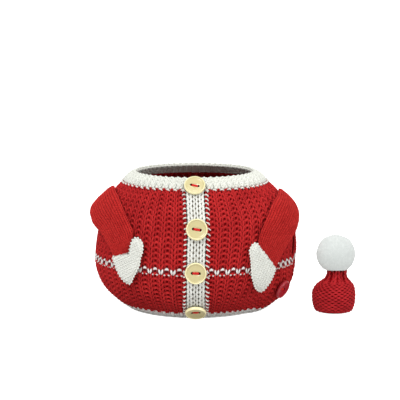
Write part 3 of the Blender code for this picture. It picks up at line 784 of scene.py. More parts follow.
PANELS = {  # first rib, last rib, side of the handle's slit, side of the spout's slit
    "front_right": (0, HANDLE_RIB, -1, -1),
    "back_right": (HANDLE_RIB, BACK_RIB, 1, -1),
    "back_left": (BACK_RIB, SPOUT_RIB, 1, -1),
    "front_left": (SPOUT_RIB, BODY_RIBS, 1, 1),
}
POINTS_PER_RIB, POINTS_PER_ROW = 4, 2
HEM_ROLL = 2.2  # the first row's yarn rests on the table, so its middle is this far up the cloth


def knitted_arc(share):
    """Distance up the cloth at a share of the knitting's height, which is a little slacker above."""
    return HEM_ROLL + (BODY_TOP - HEM_ROLL) * (share - 0.017 * np.sin(np.pi * share))


def panel_grid(name, proud=0.0):
    first, last, beyond_handle, beyond_spout = PANELS[name]
    ribs = np.linspace(first, last, (last - first) * POINTS_PER_RIB + 1)[None, :]
    share = np.linspace(0, 1, BODY_ROWS * POINTS_PER_ROW + 1)[:, None]
    return body_points(ribs, knitted_arc(share), beyond_handle, beyond_spout, proud)


print(BODY_RIBS, "ribs,", BODY_ROWS, "rows; panels:", ", ".join(PANELS))

# %% Knit the jacket's body
BELT_HEIGHT, HEM_ROWS = 44.0, 2
BELT_ROW = int(arc_at(BELT_HEIGHT) / ROW)
body_knitting = []
for number, (panel, (first, last, *_)) in enumerate(PANELS.items()):
    knitting = knit(
        f"knit_{panel}",
        panel_grid(panel),
        RIB_STITCH,
        last - first,
        BODY_ROWS,
        RED_WOOL,
        seed=number,
        White_Rows_Below=HEM_ROWS,
        White_Belt=BELT_ROW,
    )
    body_knitting.append(knitting)
print("belt in row", BELT_ROW)

# %% [markdown]
# ## Edges of the body, and the foot of the belt
# Knitting is firmer at its edges. One thick strand runs up each side of both slits, and one wavy white
# strand is the cast-on edge under all the ribs. The belt is one row of white among red, so where its yarn
# dips under a purl it shows as two small white spots. All of these are single strands of yarn, laid one by
# one along the body.


# %% Edge strands
def selvedges():
    """The firm edge strand up each side of both slits."""
    yarn = Yarn()
    steps = 28
    edges = (  # rib, slit, and on which side of the handle's slit and of the spout's slit
        (HANDLE_RIB, HANDLE_SLIT, -1, -1),
        (HANDLE_RIB, HANDLE_SLIT, 1, -1),
        (SPOUT_RIB, SPOUT_SLIT, 1, -1),
        (SPOUT_RIB, SPOUT_SLIT, 1, 1),
    )
    for rib, (foot, top, _), *beyond in edges:
        arc = np.linspace(arc_at(foot) + 1.5, arc_at(top) - 1.0, steps)
        yarn.strand(body_points(np.full(steps, float(rib)), arc, *beyond, -1.3), 1.15, sides=6, steps=1)
    return laid("slit_edges", yarn, RED_WOOL)


PARTS = (  # of the body between slits: first and last rib, and the side of each slit
    (0, HANDLE_RIB, -1, -1),
    (HANDLE_RIB, SPOUT_RIB, 1, -1),
    (SPOUT_RIB, BODY_RIBS, 1, 1),
)


def hem_edge():
    """The cast-on edge: one wavy strand of white under every rib, from the band round to the band."""
    yarn = Yarn()
    for first, last, *beyond in PARTS:
        ribs = np.linspace(first, last, (last - first) * 6 + 1)
        wave = np.cos(2 * np.pi * ribs)
        yarn.strand(body_points(ribs, 3.0 + 0.8 * wave, *beyond, -0.2), 0.85, 6, 1)
    return laid("hem_edge", yarn, HEM_WOOL_PAINTED_LIGHT)


def belt_foot():
    """The white loops of the belt where they dip under each purl, and show as two small white spots."""
    yarn = Yarn()
    rise = np.array((0.10, -0.06, -0.16, -0.26))
    arc = knitted_arc((BELT_ROW + rise) / BODY_ROWS)
    depth = np.array((-1.9, -0.75, -0.75, -1.9))
    for first, last, *beyond in PARTS:
        for rib in range(first, last):
            for side in (-1, 1):
                across = rib + 0.5 + side * np.array((0.6, 1.1, 1.8, 2.4)) / RIB
                yarn.strand(body_points(across, arc, *beyond, depth), 0.62, 5, 1)
    return laid("belt_foot", yarn, WHITE_WOOL)


edge_strands = [selvedges(), hem_edge(), belt_foot()]
body_knitting += edge_strands
for strand in edge_strands:
    print(f"{strand.name}: {len(strand.data.polygons)} faces")

# %% [markdown]
# ## The back of the knitting
# Between the front yarn and the back yarn of real knitting there is no clear way through, only deep
# shade. A thin closed sheet in the middle of the cloth stands for all the yarn that cannot be seen, and its
# dark colour is painted shade. It is as wide and long as the cloth itself, split where the slits are, and
# lapped below the handle like the cloth. Its parts stop a hair short of each other, so that no two walls
# lie in the same place.


# %% Closed sheets
def closed_sheet(outer, inner, around=False):
    """Corners and faces of a closed sheet between two grids of points."""
    rows, columns = outer.shape[:2]
    points = np.concatenate((outer.reshape(-1, 3), inner.reshape(-1, 3)))
    behind = rows * columns
    faces = []
    for c in range(columns if around else columns - 1):
        n = (c + 1) % columns
        for r in range(rows - 1):
            a, b, d, e = (i + columns * r for i in (c, n, n + columns, c + columns))
            faces += [(a, b, d, e), (behind + e, behind + d, behind + b, behind + a)]
        top = columns * (rows - 1)
        faces += [(c, c + behind, n + behind, n), (top + n, top + n + behind, top + c + behind, top + c)]
    if not around:
        for r in range(rows - 1):
            for c in (0, columns - 1):
                a, e = c + columns * r, c + columns * (r + 1)
                faces.append((a, e, e + behind, a + behind))
    return points, faces


def solid(name, parts, material):
    """One object from closed parts, each given as corners in millimetres and faces."""
    points, faces = [], []
    for corners, sides in parts:
        faces += [tuple(i + len(points) for i in side) for side in sides]
        points += [tuple(p) for p in placed(corners)]
    mesh = bpy.data.meshes.new(name)
    mesh.from_pydata(points, [], faces)
    work = bmesh.new()
    work.from_mesh(mesh)
    bmesh.ops.dissolve_degenerate(work, edges=work.edges, dist=0.005 * MM)
    bmesh.ops.recalc_face_normals(work, faces=work.faces)
    work.to_mesh(mesh)
    work.free()
    mesh.shade_smooth()
    mesh.set_sharp_from_angle(angle=math.radians(60))
    return as_object(name, mesh, material)


def matt(name, colour):
    material, _, shader = new_material(name, 1.0)
    shader.inputs["Base Color"].default_value = (*colour, 1)
    shader.inputs["Specular IOR Level"].default_value = 0.0
    return material


# Dark sheets behind the yarn are painted shade, in the holes between stitches.
RED_SHADE = matt("red wool in the shade", (0.20, 0.003, 0.005))
WHITE_SHADE = matt("white wool in the shade", (0.24, 0.20, 0.15))
WHITE_FELT = matt("white wool, close and soft", (0.55, 0.55, 0.50))
MIDDLE = (-2.1, -3.0)  # where the sheet lies, under the crests of the ribs
HAIR = 0.002  # of a rib, by which each part stops short of its end


def body_backing():
    parts = []
    arc = np.linspace(0, BODY_TOP, BODY_ROWS * 2 + 1)[:, None]
    for first, last, beyond_handle, beyond_spout in PARTS:
        ribs = np.linspace(first + HAIR, last - HAIR, (last - first) * 2 + 1)[None, :]
        faces = [body_points(ribs, arc, beyond_handle, beyond_spout, depth) for depth in MIDDLE]
        parts.append(closed_sheet(*faces))
    return solid("jacket_cloth", parts, RED_SHADE)


jacket_cloth = body_backing()
print("middle of the cloth:", len(jacket_cloth.data.polygons), "faces")


# %% The inside of the jacket
def inside_stitch():
    """A thin V for faces that are only seen from above, through the neck."""
    yarn = Yarn()
    for side in (-1, 1):
        route = ((0.5, 0.0, -1.6), (0.9, 0.45, -0.8), (1.7, 0.95, -0.8), (1.3, 1.35, -1.6))
        yarn.strand([(side * x, y * ROW, z) for x, y, z in route], 1.0, sides=3, steps=1)
    return pattern("inside stitch", yarn, RIB, ROW)


INSIDE_STITCH = inside_stitch()
LINING = -3.8  # depth of the knitting that is seen on the inside
inside_knitting = []
for number, (panel, (first, last, *_)) in enumerate(PANELS.items(), 20):
    lining = panel_grid(panel, LINING)[:, ::-1]
    name = f"inside_{panel}"
    inside_knitting.append(knit(name, lining, INSIDE_STITCH, last - first, BODY_ROWS, RED_WOOL, seed=number))



# %% [markdown]
# ## Collar
# The collar is the same rib in white wool, three rows high, knitted round and round in plumper yarn. It
# carries on from the body's ribs and leans in towards the neck. A wavy strand is its scalloped upper
# edge, and a row of short white stitches at its foot picks up the red cloth.

# %% Knit the collar
COLLAR_RIBS, COLLAR_ROWS = 60, 3
COLLAR_ARC = arc_at(COLLAR_FOOT)
BAND_PROUD = 0.9  # how far the white parts stand out past the red


def collar_grid(proud, columns, low=None, rows=10):
    """The collar's surface, all round from the back; it may start lower than its foot."""
    angles = np.linspace(180, 540, columns)[None, :]
    arc = np.linspace(COLLAR_ARC if low is None else low, ARC[-1], rows + 1)[:, None]
    swell = 0.7 * np.sin(np.pi * np.clip((arc - COLLAR_ARC) / (ARC[-1] - COLLAR_ARC), 0, 1))
    return on_jacket(angles, arc, BAND_PROUD + proud + (swell if proud >= -0.5 else 0))


def knit_collar():
    made = []
    tall = (ARC[-1] - COLLAR_ARC) / COLLAR_ROWS
    points = collar_grid(0.0, COLLAR_RIBS * 4 + 1, low=COLLAR_ARC - tall + 1.9)
    bare = np.repeat(np.arange(len(points)) <= 1, points.shape[1])
    plump = rib_stitch("collar stitch", 1.46, fullness=(1.2, 1.15, 1.05, 0.95))
    size = (COLLAR_RIBS, COLLAR_ROWS + 1)
    made.append(knit("knit_collar", points, plump, *size, COLLAR_WOOL, True, bare, seed=11, deep=7.0))
    lining = collar_grid(LINING, COLLAR_RIBS * 4 + 1)[:, ::-1]
    size = (COLLAR_RIBS, COLLAR_ROWS)
    made.append(knit("inside_collar", lining, INSIDE_STITCH, *size, COLLAR_WOOL, True, seed=12, deep=9.0))
    sheets = [collar_grid(depth, COLLAR_RIBS * 2 + 1)[:, :-1] for depth in MIDDLE]
    made.append(solid("collar_cloth", [closed_sheet(*sheets, around=True)], WHITE_FELT))
    edge = Yarn()
    turns = np.linspace(0, 360, COLLAR_RIBS * 6 + 1)
    wave = np.cos(np.radians(turns * COLLAR_RIBS))
    route = on_jacket(turns + 180, ARC[-1] - 0.9 - 0.55 * wave, BAND_PROUD - 1.4 - 0.5 * wave)
    edge.strand(route, 1.05, sides=6, steps=1)
    made.append(laid("collar_edge", edge, COLLAR_WOOL))
    foot = Yarn()
    for rib in range(COLLAR_RIBS):
        middle = (rib + 0.5) * 360 / COLLAR_RIBS + 180
        spread = np.array((-1.0, -0.6, 0.0, 0.6, 1.0))
        turns = middle + np.degrees(spread * 1.8 / SHOULDER_RADIUS)
        lens = on_jacket(turns, COLLAR_ARC - 1.75 - spread * 0.5, 0.4 - 2.0 * spread**2)
        foot.strand(lens, 0.8, 6, 1, shares=(0.4, 0.9, 1, 0.9, 0.4))
    made.append(laid("collar_foot", foot, WHITE_WOOL))
    return made


collar = knit_collar()


# %% [markdown]
# ## Front band
# A narrow strip of close white knitting fills the front. On each side of its middle are two wavy columns
# and a chain, so its two edges are softly scalloped. Two thin sheets lie behind the yarn: a dark one, which
# is painted shade in the holes, and a lighter one that is the strip's back, seen through the neck.

# %% Knit the front band
def on_front(across, arc, proud=0.0):
    """Points on the front of the jacket, measured across from its middle line."""
    return on_jacket(np.degrees(np.arcsin(across / outline(arc)[0])), arc, proud)


def band_stitch():
    """One row of the band: from the middle out on each side, two wavy columns and the chain of the edge."""
    yarn = Yarn()
    heights = np.linspace(-0.12, 1.12, 7)
    wave = np.cos(2 * np.pi * heights)
    inner = np.stack((1.15 - 0.35 * wave, heights * ROW, -1.15 - 0.25 * wave), axis=1)
    outer = np.stack((3.75 + 0.40 * wave, heights * ROW, -1.05 - 0.25 * wave), axis=1)
    chain = [(5.1, -0.28, -2.2), (5.7, 0.05, -1.3), (6.5, 0.50, -1.1), (6.2, 0.92, -1.4), (5.3, 1.22, -2.4)]
    chain = [(x, y * ROW, z) for x, y, z in chain]
    for side in (-1, 1):
        for thick, route in ((1.0, inner), (1.12, outer), (1.15, chain)):
            yarn.strand([(side * x, y, z) for x, y, z in route], thick, sides=6, steps=1)
    return pattern("band stitch", yarn, BAND_WIDTH, ROW)


def knit_band():
    across = np.linspace(-BAND_WIDTH / 2, BAND_WIDTH / 2, 9)[None, :]
    arc = np.linspace(0, BODY_TOP, BODY_ROWS * 2 + 1)[:, None]
    grid = on_front(across, arc, BAND_PROUD)
    made = knit("knit_placket", grid, band_stitch(), 1, BODY_ROWS, WHITE_WOOL, seed=13, deep=5.5)
    middle = [on_front(across * 0.9, arc, BAND_PROUD + depth) for depth in (-1.9, -3.0)]
    facing = [on_front(across * 1.09, arc, depth) for depth in (-3.2, -3.9)]
    cloth = solid("placket_cloth", [closed_sheet(*middle)], WHITE_SHADE)
    return [made, cloth, solid("placket_back", [closed_sheet(*facing)], WHITE_FELT)]


band = knit_band()


# %% [markdown]
# ## Sewing
# The band is whipped to the body with white wool: one short slanting stitch to a row, over the edge and
# into the red. The stitches on the left lie almost level, and those on the right slant down and out,
# because the same thread was drawn up one side and down the other.


# %% Whip stitches
def whip_stitches():
    yarn = Yarn()
    chance = np.random.default_rng(5)
    for row in range(HEM_ROWS + 1, BODY_ROWS):
        middle = (row + 0.5) * BODY_TOP / BODY_ROWS
        for side, drop, edge, reach in ((-1, 0.8, 8.5, 2.1), (1, 2.1, 8.5, 2.7)):
            slip, longer = chance.uniform(-0.3, 0.3, 2)
            inside, outside = edge - 0.8, edge + reach + longer
            start = middle + slip + drop / 2
            route = (
                (inside, start, -1.8),
                (edge, start - drop * 0.2, 0.1),
                ((edge + outside) / 2, start - drop * 0.6, 0.55),
                (outside - 0.5, start - drop * 0.95, -0.2),
                (outside, start - drop * 1.05, -1.9),
            )
            path = [on_front(side * x, np.clip(a, 1, ARC[-1]), z) for x, a, z in route]
            yarn.strand(path, 0.62, sides=7, steps=3, shares=(0.6, 0.95, 1, 0.9, 0.5))
    return laid("whip_stitches", yarn, WHITE_WOOL)


whips = whip_stitches()
print("whip stitches:", len(whips.data.polygons), "faces")

# %% [markdown]
# ## Buttons
# The four cream buttons are turned from casein or plastic: a thin raised rim, a dished middle, a rounded
# edge and two sewing holes. Each is sewn on with a few turns of red thread between its holes. A fifth, in
# glossy deep red, closes the lap below the handle. The profile of half a button is turned about its axis,
# a hollow is cut round the holes, the holes are bored almost through, so that each keeps a thin floor,
# painted near black as painted shade, and the thread is laid across. Each rim is coloured lighter than the
# face, as a painted highlight.

# %% Button finishes
def glossy(name, colour, roughness, coat, shine=0.5):
    material, _, shader = new_material(name, roughness)
    shader.inputs["Specular IOR Level"].default_value = shine
    shader.inputs["Base Color"].default_value = (*colour, 1)
    shader.inputs["Coat Weight"].default_value = coat
    shader.inputs["Coat Roughness"].default_value = 0.15
    return material


# Each rim colour is lighter than its face, a painted highlight; the inside of a hole is near black, painted
# shade.
CREAM_GLOSS = glossy("cream button", (0.52, 0.455, 0.225), 0.3, 0.4)
CREAM_RIM_HIGHLIGHT = glossy("cream button, rim", (0.80, 0.74, 0.42), 0.25, 0.6)
HOLE_PAINTED_SHADE = matt("inside of a hole", (0.03, 0.003, 0.002))
RED_GLOSS = glossy("deep red button", (0.30, 0.004, 0.012), 0.4, 0.0, shine=0.15)
RED_RIM_HIGHLIGHT = glossy("deep red button, rim", (0.36, 0.010, 0.020), 0.3, 0.2)
FINISHES = (CREAM_GLOSS, CREAM_RIM_HIGHLIGHT, HOLE_PAINTED_SHADE, RED_GLOSS, RED_RIM_HIGHLIGHT)
print("button finishes:", ", ".join(finish.name for finish in FINISHES))

# %% Turn and sew on the buttons
BUTTON_WIDE, BUTTON_THICK, CLOSURE_WIDE = 18.0, 3.4, 16.5
BUTTON_HEIGHTS = (111.6, 80.0, 45.0, 10.8)  # from the neck down
HOLES_APART, HOLE_RADIUS = 5.9, 1.2
HOLE_FLOOR, DRILL_LENGTH = 0.35, 20
HOLLOW = (5.2, 2.6, 1.2)  # half the width, length and depth of the hollow round the holes
TOP_BUTTON_TIP, TOP_BUTTON_PROUD = 9.0, 0.65
CLOSURE_ANGLE, CLOSURE_HEIGHT, CLOSURE_PROUD = 56.5, 24.5, -0.25


def cloth_frame(angle, arc):
    """Directions on the cloth: to the side, up along it, and out of it."""
    _, _, out, up = outline(arc)
    turn = math.radians(angle)
    normal = Vector((out * math.sin(turn), -out * math.cos(turn), up))
    rise = Vector((-up * math.sin(turn), up * math.cos(turn), out))
    return rise.cross(normal).normalized(), rise, normal


def button_body(name, diameter, thickness, face, rim, place):
    """A turned button with bored holes, set in its place by a matrix in millimetres."""
    radius = diameter / 2
    profile = smooth_through(
        (
            (0.0, thickness * 0.60),
            (radius * 0.40, thickness * 0.61),
            (radius * 0.72, thickness * 0.68),
            (radius * 0.84, thickness * 0.82),
            (radius * 0.89, thickness * 0.98),
            (radius * 0.94, thickness * 1.0),
            (radius, thickness * 0.62),
            (radius * 0.96, thickness * 0.25),
            (radius * 0.80, thickness * 0.02),
            (radius * 0.55, 0.0),
            (0.0, 0.0),
        ),
        steps=3,
    )
    steps = 56
    angles = 2 * np.pi * np.arange(steps) / steps
    rings = [(r * np.cos(angles), r * np.sin(angles), np.full(steps, z)) for r, z in profile[1:-1]]
    points = [p for ring in rings for p in np.stack(ring, axis=1)]
    faces = []
    for i in range(len(rings) - 1):
        for k in range(steps):
            n = (k + 1) % steps
            faces.append((i * steps + k, (i + 1) * steps + k, (i + 1) * steps + n, i * steps + n))
    top, bottom = len(points), len(points) + 1
    points += [(0, 0, profile[0][1]), (0, 0, 0)]
    last = (len(rings) - 1) * steps
    for k in range(steps):
        n = (k + 1) % steps
        faces += [(top, k, n), (bottom, last + n, last + k)]
    mesh = bpy.data.meshes.new(name)
    mesh.from_pydata([tuple(map(float, p)) for p in points], [], faces)
    blank = as_object(name, mesh, face)
    drills = []
    for side in (-0.5, 0.5, None):
        work = bmesh.new()
        if side:
            bmesh.ops.create_cone(
                work,
                cap_ends=True,
                segments=20,
                radius1=HOLE_RADIUS,
                radius2=HOLE_RADIUS,
                depth=DRILL_LENGTH,
            )
            shift = (side * HOLES_APART, 0, HOLE_FLOOR + DRILL_LENGTH / 2)
        else:
            bmesh.ops.create_uvsphere(work, u_segments=32, v_segments=16, radius=1)
            bmesh.ops.scale(work, vec=HOLLOW, verts=work.verts)
            shift = (0, 0, thickness * 0.60 + HOLLOW[2] / 2)
        bmesh.ops.translate(work, vec=shift, verts=work.verts)
        bit = bpy.data.meshes.new("drill")
        work.to_mesh(bit)
        work.free()
        drills.append(as_object("drill", bit))
        bore = blank.modifiers.new("hole", "BOOLEAN")
        bore.operation = "DIFFERENCE"
        bore.object = drills[-1]
    depsgraph = bpy.context.evaluated_depsgraph_get()
    bored = bpy.data.meshes.new_from_object(blank.evaluated_get(depsgraph), depsgraph=depsgraph)
    for thing in (blank, *drills):
        bpy.data.objects.remove(thing)
    bored.materials.clear()
    work = bmesh.new()
    work.from_mesh(bored)
    bmesh.ops.remove_doubles(work, verts=work.verts, dist=0.01)
    bmesh.ops.dissolve_degenerate(work, edges=work.edges, dist=0.01)
    work.to_mesh(bored)
    work.free()
    for material in (face, rim, HOLE_PAINTED_SHADE):
        bored.materials.append(material)
    # Faces round a hole take the painted shade, and faces on the rim take the rim's painted highlight.
    for side in bored.polygons:
        x, y, _ = side.center
        from_hole = math.hypot(abs(x) - HOLES_APART / 2, y)
        on_rim = math.hypot(x, y) > radius * 0.86
        side.material_index = 2 if from_hole < HOLE_RADIUS + 0.02 else int(on_rim)
    bored.transform(Matrix.Scale(MM, 4) @ Matrix.Translation((*JACKET_AXIS, 0)) @ place)
    bored.shade_smooth()
    bored.set_sharp_from_angle(angle=math.radians(40))
    return as_object(name, bored)


def sewing_thread(place, thickness):
    """Three turns of thread side by side between the holes, with both ends deep in a hole."""
    yarn = Yarn()
    for offset in (-0.55, 0.0, 0.55):
        half, level = HOLES_APART / 2 - 0.55, thickness * 0.36
        route = ((-half, 0.4), (-half * 0.92, level + 0.25), (0, level + 0.75 - abs(offset) * 0.5))
        route += ((half * 0.92, level + 0.25), (half, 0.4))
        yarn.strand([place @ Vector((x, offset, z)) for x, z in route], 0.5, 6, 3)
    return yarn


def add_button(name, diameter, angle, arc, proud, finish, tip=0.0, turn=0.0):
    """A button on the cloth, tipped forward and turned in its plane by small angles in degrees."""
    side, rise, normal = cloth_frame(angle, arc)
    facing = Matrix((side, rise, normal)).transposed()
    tipped = Matrix.Rotation(math.radians(tip), 3, "X") @ facing
    facing = tipped @ Matrix.Rotation(math.radians(turn), 3, "Z")
    place = Matrix.Translation(on_jacket(angle, arc, proud)) @ facing.to_4x4()
    button = button_body(name, diameter, BUTTON_THICK, *finish, place)
    thread = laid(f"{name}_thread", sewing_thread(place, BUTTON_THICK), SLEEVE_WOOL)
    return button, thread


buttons = {}
for number, (height, turn) in enumerate(zip(BUTTON_HEIGHTS, (-14, -9, -2, 6)), 1):
    first = number == 1
    buttons[f"button_{number}"] = add_button(
        f"cream_button_{number}",
        BUTTON_WIDE,
        0.0,
        arc_at(height),
        BAND_PROUD + SEWN + (TOP_BUTTON_PROUD if first else 0),
        (CREAM_GLOSS, CREAM_RIM_HIGHLIGHT),
        tip=TOP_BUTTON_TIP if first else 0.0,
        turn=turn,
    )
buttons["closure_button"] = add_button(
    "red_button",
    CLOSURE_WIDE,
    CLOSURE_ANGLE,
    arc_at(CLOSURE_HEIGHT),
    LAP_LIFT + SEWN + CLOSURE_PROUD,
    (RED_GLOSS, RED_RIM_HIGHLIGHT),
    turn=-8,
)
print("buttons:", ", ".join(b.name for b, _ in buttons.values()))

# %% [markdown]
# ## Plain knitting
# The sleeves and mittens are plain knitting in finer wool, all V shapes in close columns. One stitch is
# two plump legs, and it sits on its neighbours without a gap.

# %% Plain stitch
PLAIN_WIDE, PLAIN_TALL = 2.55, 2.2


def plain_stitch(name, lean=1.0, thick=0.55):
    """Two legs that rise and lean apart; a smaller lean leaves a groove between the columns."""
    yarn = Yarn()
    for side in (-1, 1):
        route = ((0.10, -0.30, -1.5), (0.28, 0.10, -0.75), (0.62, 0.58, -0.58))
        route += ((0.98, 1.00, -0.78), (1.05, 1.3, -1.5))
        places = [(side * x * lean, y * PLAIN_TALL, z) for x, y, z in route]
        yarn.strand(places, thick, sides=4, steps=1, twist_length=2.0)
    return pattern(name, yarn, PLAIN_WIDE, PLAIN_TALL)


PLAIN_STITCH = plain_stitch("plain stitch", lean=0.80, thick=0.52)
MITTEN_STITCH = plain_stitch("mitten stitch", lean=0.9, thick=0.6)
print("each plain stitch:", len(PLAIN_STITCH.data.polygons), "faces")

# %% [markdown]
# ## Sleeves
# Each sleeve is a small knitted tube pressed flat. It is sewn to the side of the body at the shoulder and
# hangs forward over the front. A short table gives a line across it at each place from shoulder to cuff:
# the angle and height of its two edges, how far its outer edge stands off the body, and its thickness.
# Its first ring is pinched shut, as the seam at the shoulder closes it.

# %% Knit the sleeves
SLEEVE_LINES = {  # inner angle and height, outer angle and height, stand-off, thickness
    "left": (
        (-83.0, 103.5, -87.5, 86.0, 0.6, 4.6),
        (-78.0, 105.0, -83.5, 82.5, 6.0, 5.6),
        (-58.6, 99.2, -73.0, 74.0, 4.4, 5.0),
        (-47.3, 90.8, -63.5, 68.9, 1.6, 4.6),
        (-40.0, 81.3, -55.6, 61.1, 0.4, 4.5),
        (-36.4, 73.2, -52.4, 57.2, 0.2, 4.5),
        (-38.6, 58.0, -49.8, 52.6, 0.0, 4.2),
    ),
    "right": (
        (83.0, 102.0, 91.5, 85.5, 0.2, 4.4),
        (78.5, 102.4, 88.5, 83.8, 2.4, 5.0),
        (56.5, 96.3, 74.5, 74.0, 2.0, 5.0),
        (45.2, 87.4, 64.0, 64.8, 0.8, 4.6),
        (38.0, 77.6, 54.8, 56.4, 0.2, 4.5),
        (34.0, 65.8, 46.4, 43.4, 0.0, 4.2),
    ),
}
LIES_OFF = 0.5  # between the body and what lies on it
TUCKED_IN = 2.2  # how far a cuff goes on into its mitten


def even_ring(points, count):
    """A closed ring of points set at even distances, with its first point again at the end."""
    closed = np.vstack([points, points[:1]])
    length = np.r_[0, np.cumsum(np.linalg.norm(np.diff(closed, axis=0), axis=1))]
    places = np.linspace(0, length[-1], count + 1)
    return np.stack([np.interp(places, length, closed[:, i]) for i in range(3)], axis=1)


def sleeve_rings(side, count, shrink=0.0):
    """Rings of the sleeve's surface, or of one that lies inside it; the shoulder end is pinched shut."""
    rings = []
    lines = smooth_through(SLEEVE_LINES[side], steps=6)
    for inner_angle, inner_height, outer_angle, outer_height, stand_off, thick in [lines[0], *lines]:
        turn = 2 * np.pi * (np.arange(96) + 0.5) / 96
        across = np.sign(np.cos(turn)) * abs(np.cos(turn)) ** 0.7 * (1 - shrink / 13)
        over = np.sign(np.sin(turn)) * abs(np.sin(turn)) ** 0.75
        share = (1 + across) / 2
        angle = inner_angle + (outer_angle - inner_angle) * share
        height = inner_height + (outer_height - inner_height) * share
        middle = LIES_OFF + thick / 2 + stand_off * share**1.5
        half = thick / 2 - shrink if rings else 0.05
        rings.append(on_jacket(angle, arc_at(height), middle + over * half))
    rings[0] -= (rings[2] - rings[1]) * 0.5
    onward = rings[-1] - rings[-2]
    rings.append(rings[-1] + onward / np.linalg.norm(onward.mean(axis=0)) * TUCKED_IN)
    rings = np.array([even_ring(ring, count) for ring in rings])
    along = np.linalg.norm(np.diff(rings.mean(axis=1), axis=0), axis=1)
    places = np.r_[0, np.cumsum(along)]
    steps = np.linspace(0, places[-1], 40)
    flat = rings.reshape(len(rings), -1)
    even = np.stack([np.interp(steps, places, flat[:, i]) for i in range(flat.shape[1])], axis=1)
    return even.reshape(len(steps), count + 1, 3), places[-1]


def facing_out(grid):
    """The grid, turned over if needed so that its faces look away from its middle."""
    across, up = np.gradient(grid, axis=1), np.gradient(grid, axis=0)
    outward = np.cross(across, up)
    away = grid - grid.mean(axis=1, keepdims=True)
    return grid if (outward * away).sum() > 0 else grid[:, ::-1]


def knit_sleeve(side, seed):
    rings, length = sleeve_rings(side, 48)
    rings = facing_out(rings)
    girth = np.linalg.norm(np.diff(rings[len(rings) // 2], axis=0), axis=1).sum()
    columns, rows = round(girth / PLAIN_WIDE), round(length / PLAIN_TALL)
    made = knit(
        f"knit_sleeve_{side}",
        rings,
        PLAIN_STITCH,
        columns,
        rows,
        SLEEVE_WOOL,
        around=True,
        seed=seed,
        deep=1.3,
        White_Rows_Above=rows - 1,
    )
    # A dark sheet inside the sleeve's knitting: painted shade between the stitches.
    walls = [sleeve_rings(side, 32, shrink=depth)[0][::3, :-1] for depth in (1.0, 1.9)]
    back = solid(f"sleeve_cloth_{side}", [closed_sheet(*walls, around=True)], RED_SHADE)
    rolls = Yarn()
    ring = rings[0]
    middle = ring.mean(axis=0)
    ring = middle + (ring - middle) * 0.985
    rolls.strand([*ring[:-1:2], ring[0]], 0.85, 6, 2)
    roll = laid(f"sleeve_edge_{side}", rolls, SLEEVE_WOOL)
    print(f"sleeve {side}: {columns} stitches round, {rows} rows")
    print(f"sleeve {side}: {girth / 2:.0f} mm wide and {length:.0f} mm long")
    return [made, back, roll]


sleeves = {side: knit_sleeve(side, seed) for seed, side in enumerate(("left", "right"), 31)}

# %% [markdown]
# ## Mittens
# A mitten is flat, knitted in white from the cuff to the fingers, with a thumb. Its outline is a table of
# corners on the jacket's surface. Stitches are laid on a slanting grid, and those that fall outside the
# outline are left out, which gives the stepped finger ends and the zigzag of the cuff. A wavy strand
# follows the outline as its border, and a closed pad under the stitches fills the mitten.

# %% Knit the mittens
MITTEN_CORNERS = {  # angle and height on the body, once round
    "left": (
        (-49.8, 51.4),
        (-46.2, 44.2),
        (-43.2, 37.8),
        (-39.8, 34.2),
        (-36.8, 33.8),
        (-35.4, 37.0),
        (-31.2, 47.5),
        (-30.4, 55.0),
        (-29.2, 61.0),
        (-29.8, 67.4),
        (-32.8, 70.8),
        (-35.8, 69.2),
        (-37.0, 62.5),
        (-38.0, 55.8),
        (-43.8, 54.2),
    ),
    "right": (
        (45.2, 42.4),
        (43.4, 37.4),
        (40.6, 31.2),
        (37.8, 27.2),
        (33.2, 31.0),
        (30.2, 40.0),
        (29.7, 48.0),
        (29.3, 56.0),
        (28.7, 61.8),
        (30.8, 66.4),
        (33.4, 66.2),
        (35.8, 59.8),
        (40.2, 50.6),
    ),
}
MITTEN_THICK, MITTEN_ROUNDING, BORDER_WAVES = 5.2, 3.0, 40
COLUMN_SLANT = {"left": -62.0, "right": -122.0}  # direction from cuff to fingers, degrees from level
FLAT_RADIUS = 88.0  # of the jacket where the mittens lie


def flattened(corners):
    """Angle and height as millimetres on the flat: across, and up the cloth."""
    angle, height = np.array(corners, float).T
    return np.stack((np.radians(angle) * FLAT_RADIUS, arc_at(height)), axis=1)


def depth_inside(points, outline_points):
    """Distance of points from a closed outline, more than 0 inside it, and the nearest points on it."""
    x, y = points[..., 0], points[..., 1]
    nearest = np.full(x.shape, 1e9)
    found = np.zeros(points.shape)
    inside = np.zeros(x.shape, bool)
    for (ax, ay), (bx, by) in zip(outline_points, np.roll(outline_points, -1, axis=0)):
        dx, dy = bx - ax, by - ay
        along = np.clip(((x - ax) * dx + (y - ay) * dy) / (dx * dx + dy * dy), 0, 1)
        foot = np.stack((ax + along * dx, ay + along * dy), axis=-1)
        far = np.linalg.norm(points - foot, axis=-1)
        found = np.where((far < nearest)[..., None], foot, found)
        nearest = np.minimum(nearest, far)
        inside ^= ((ay > y) != (by > y)) & (x < dx * (y - ay) / (dy if abs(dy) > 1e-9 else 1e-9) + ax)
    return np.where(inside, nearest, -nearest), found


def closed_patch(outer, inner, kept):
    """Corners and faces of a closed sheet over those cells of two grids that have a kept corner."""
    rows, columns = kept.shape
    behind = rows * columns
    faces, rim = [], {}
    for r in range(rows - 1):
        for c in range(columns - 1):
            a = r * columns + c
            cell = (a, a + 1, a + columns + 1, a + columns)
            if kept[r : r + 2, c : c + 2].any():
                faces += [cell, tuple(i + behind for i in reversed(cell))]
                for start, end in zip(cell, cell[1:] + cell[:1]):
                    if (end, start) in rim:
                        del rim[end, start]
                    else:
                        rim[start, end] = (start, start + behind, end + behind, end)
    return np.concatenate((outer.reshape(-1, 3), inner.reshape(-1, 3))), faces + list(rim.values())


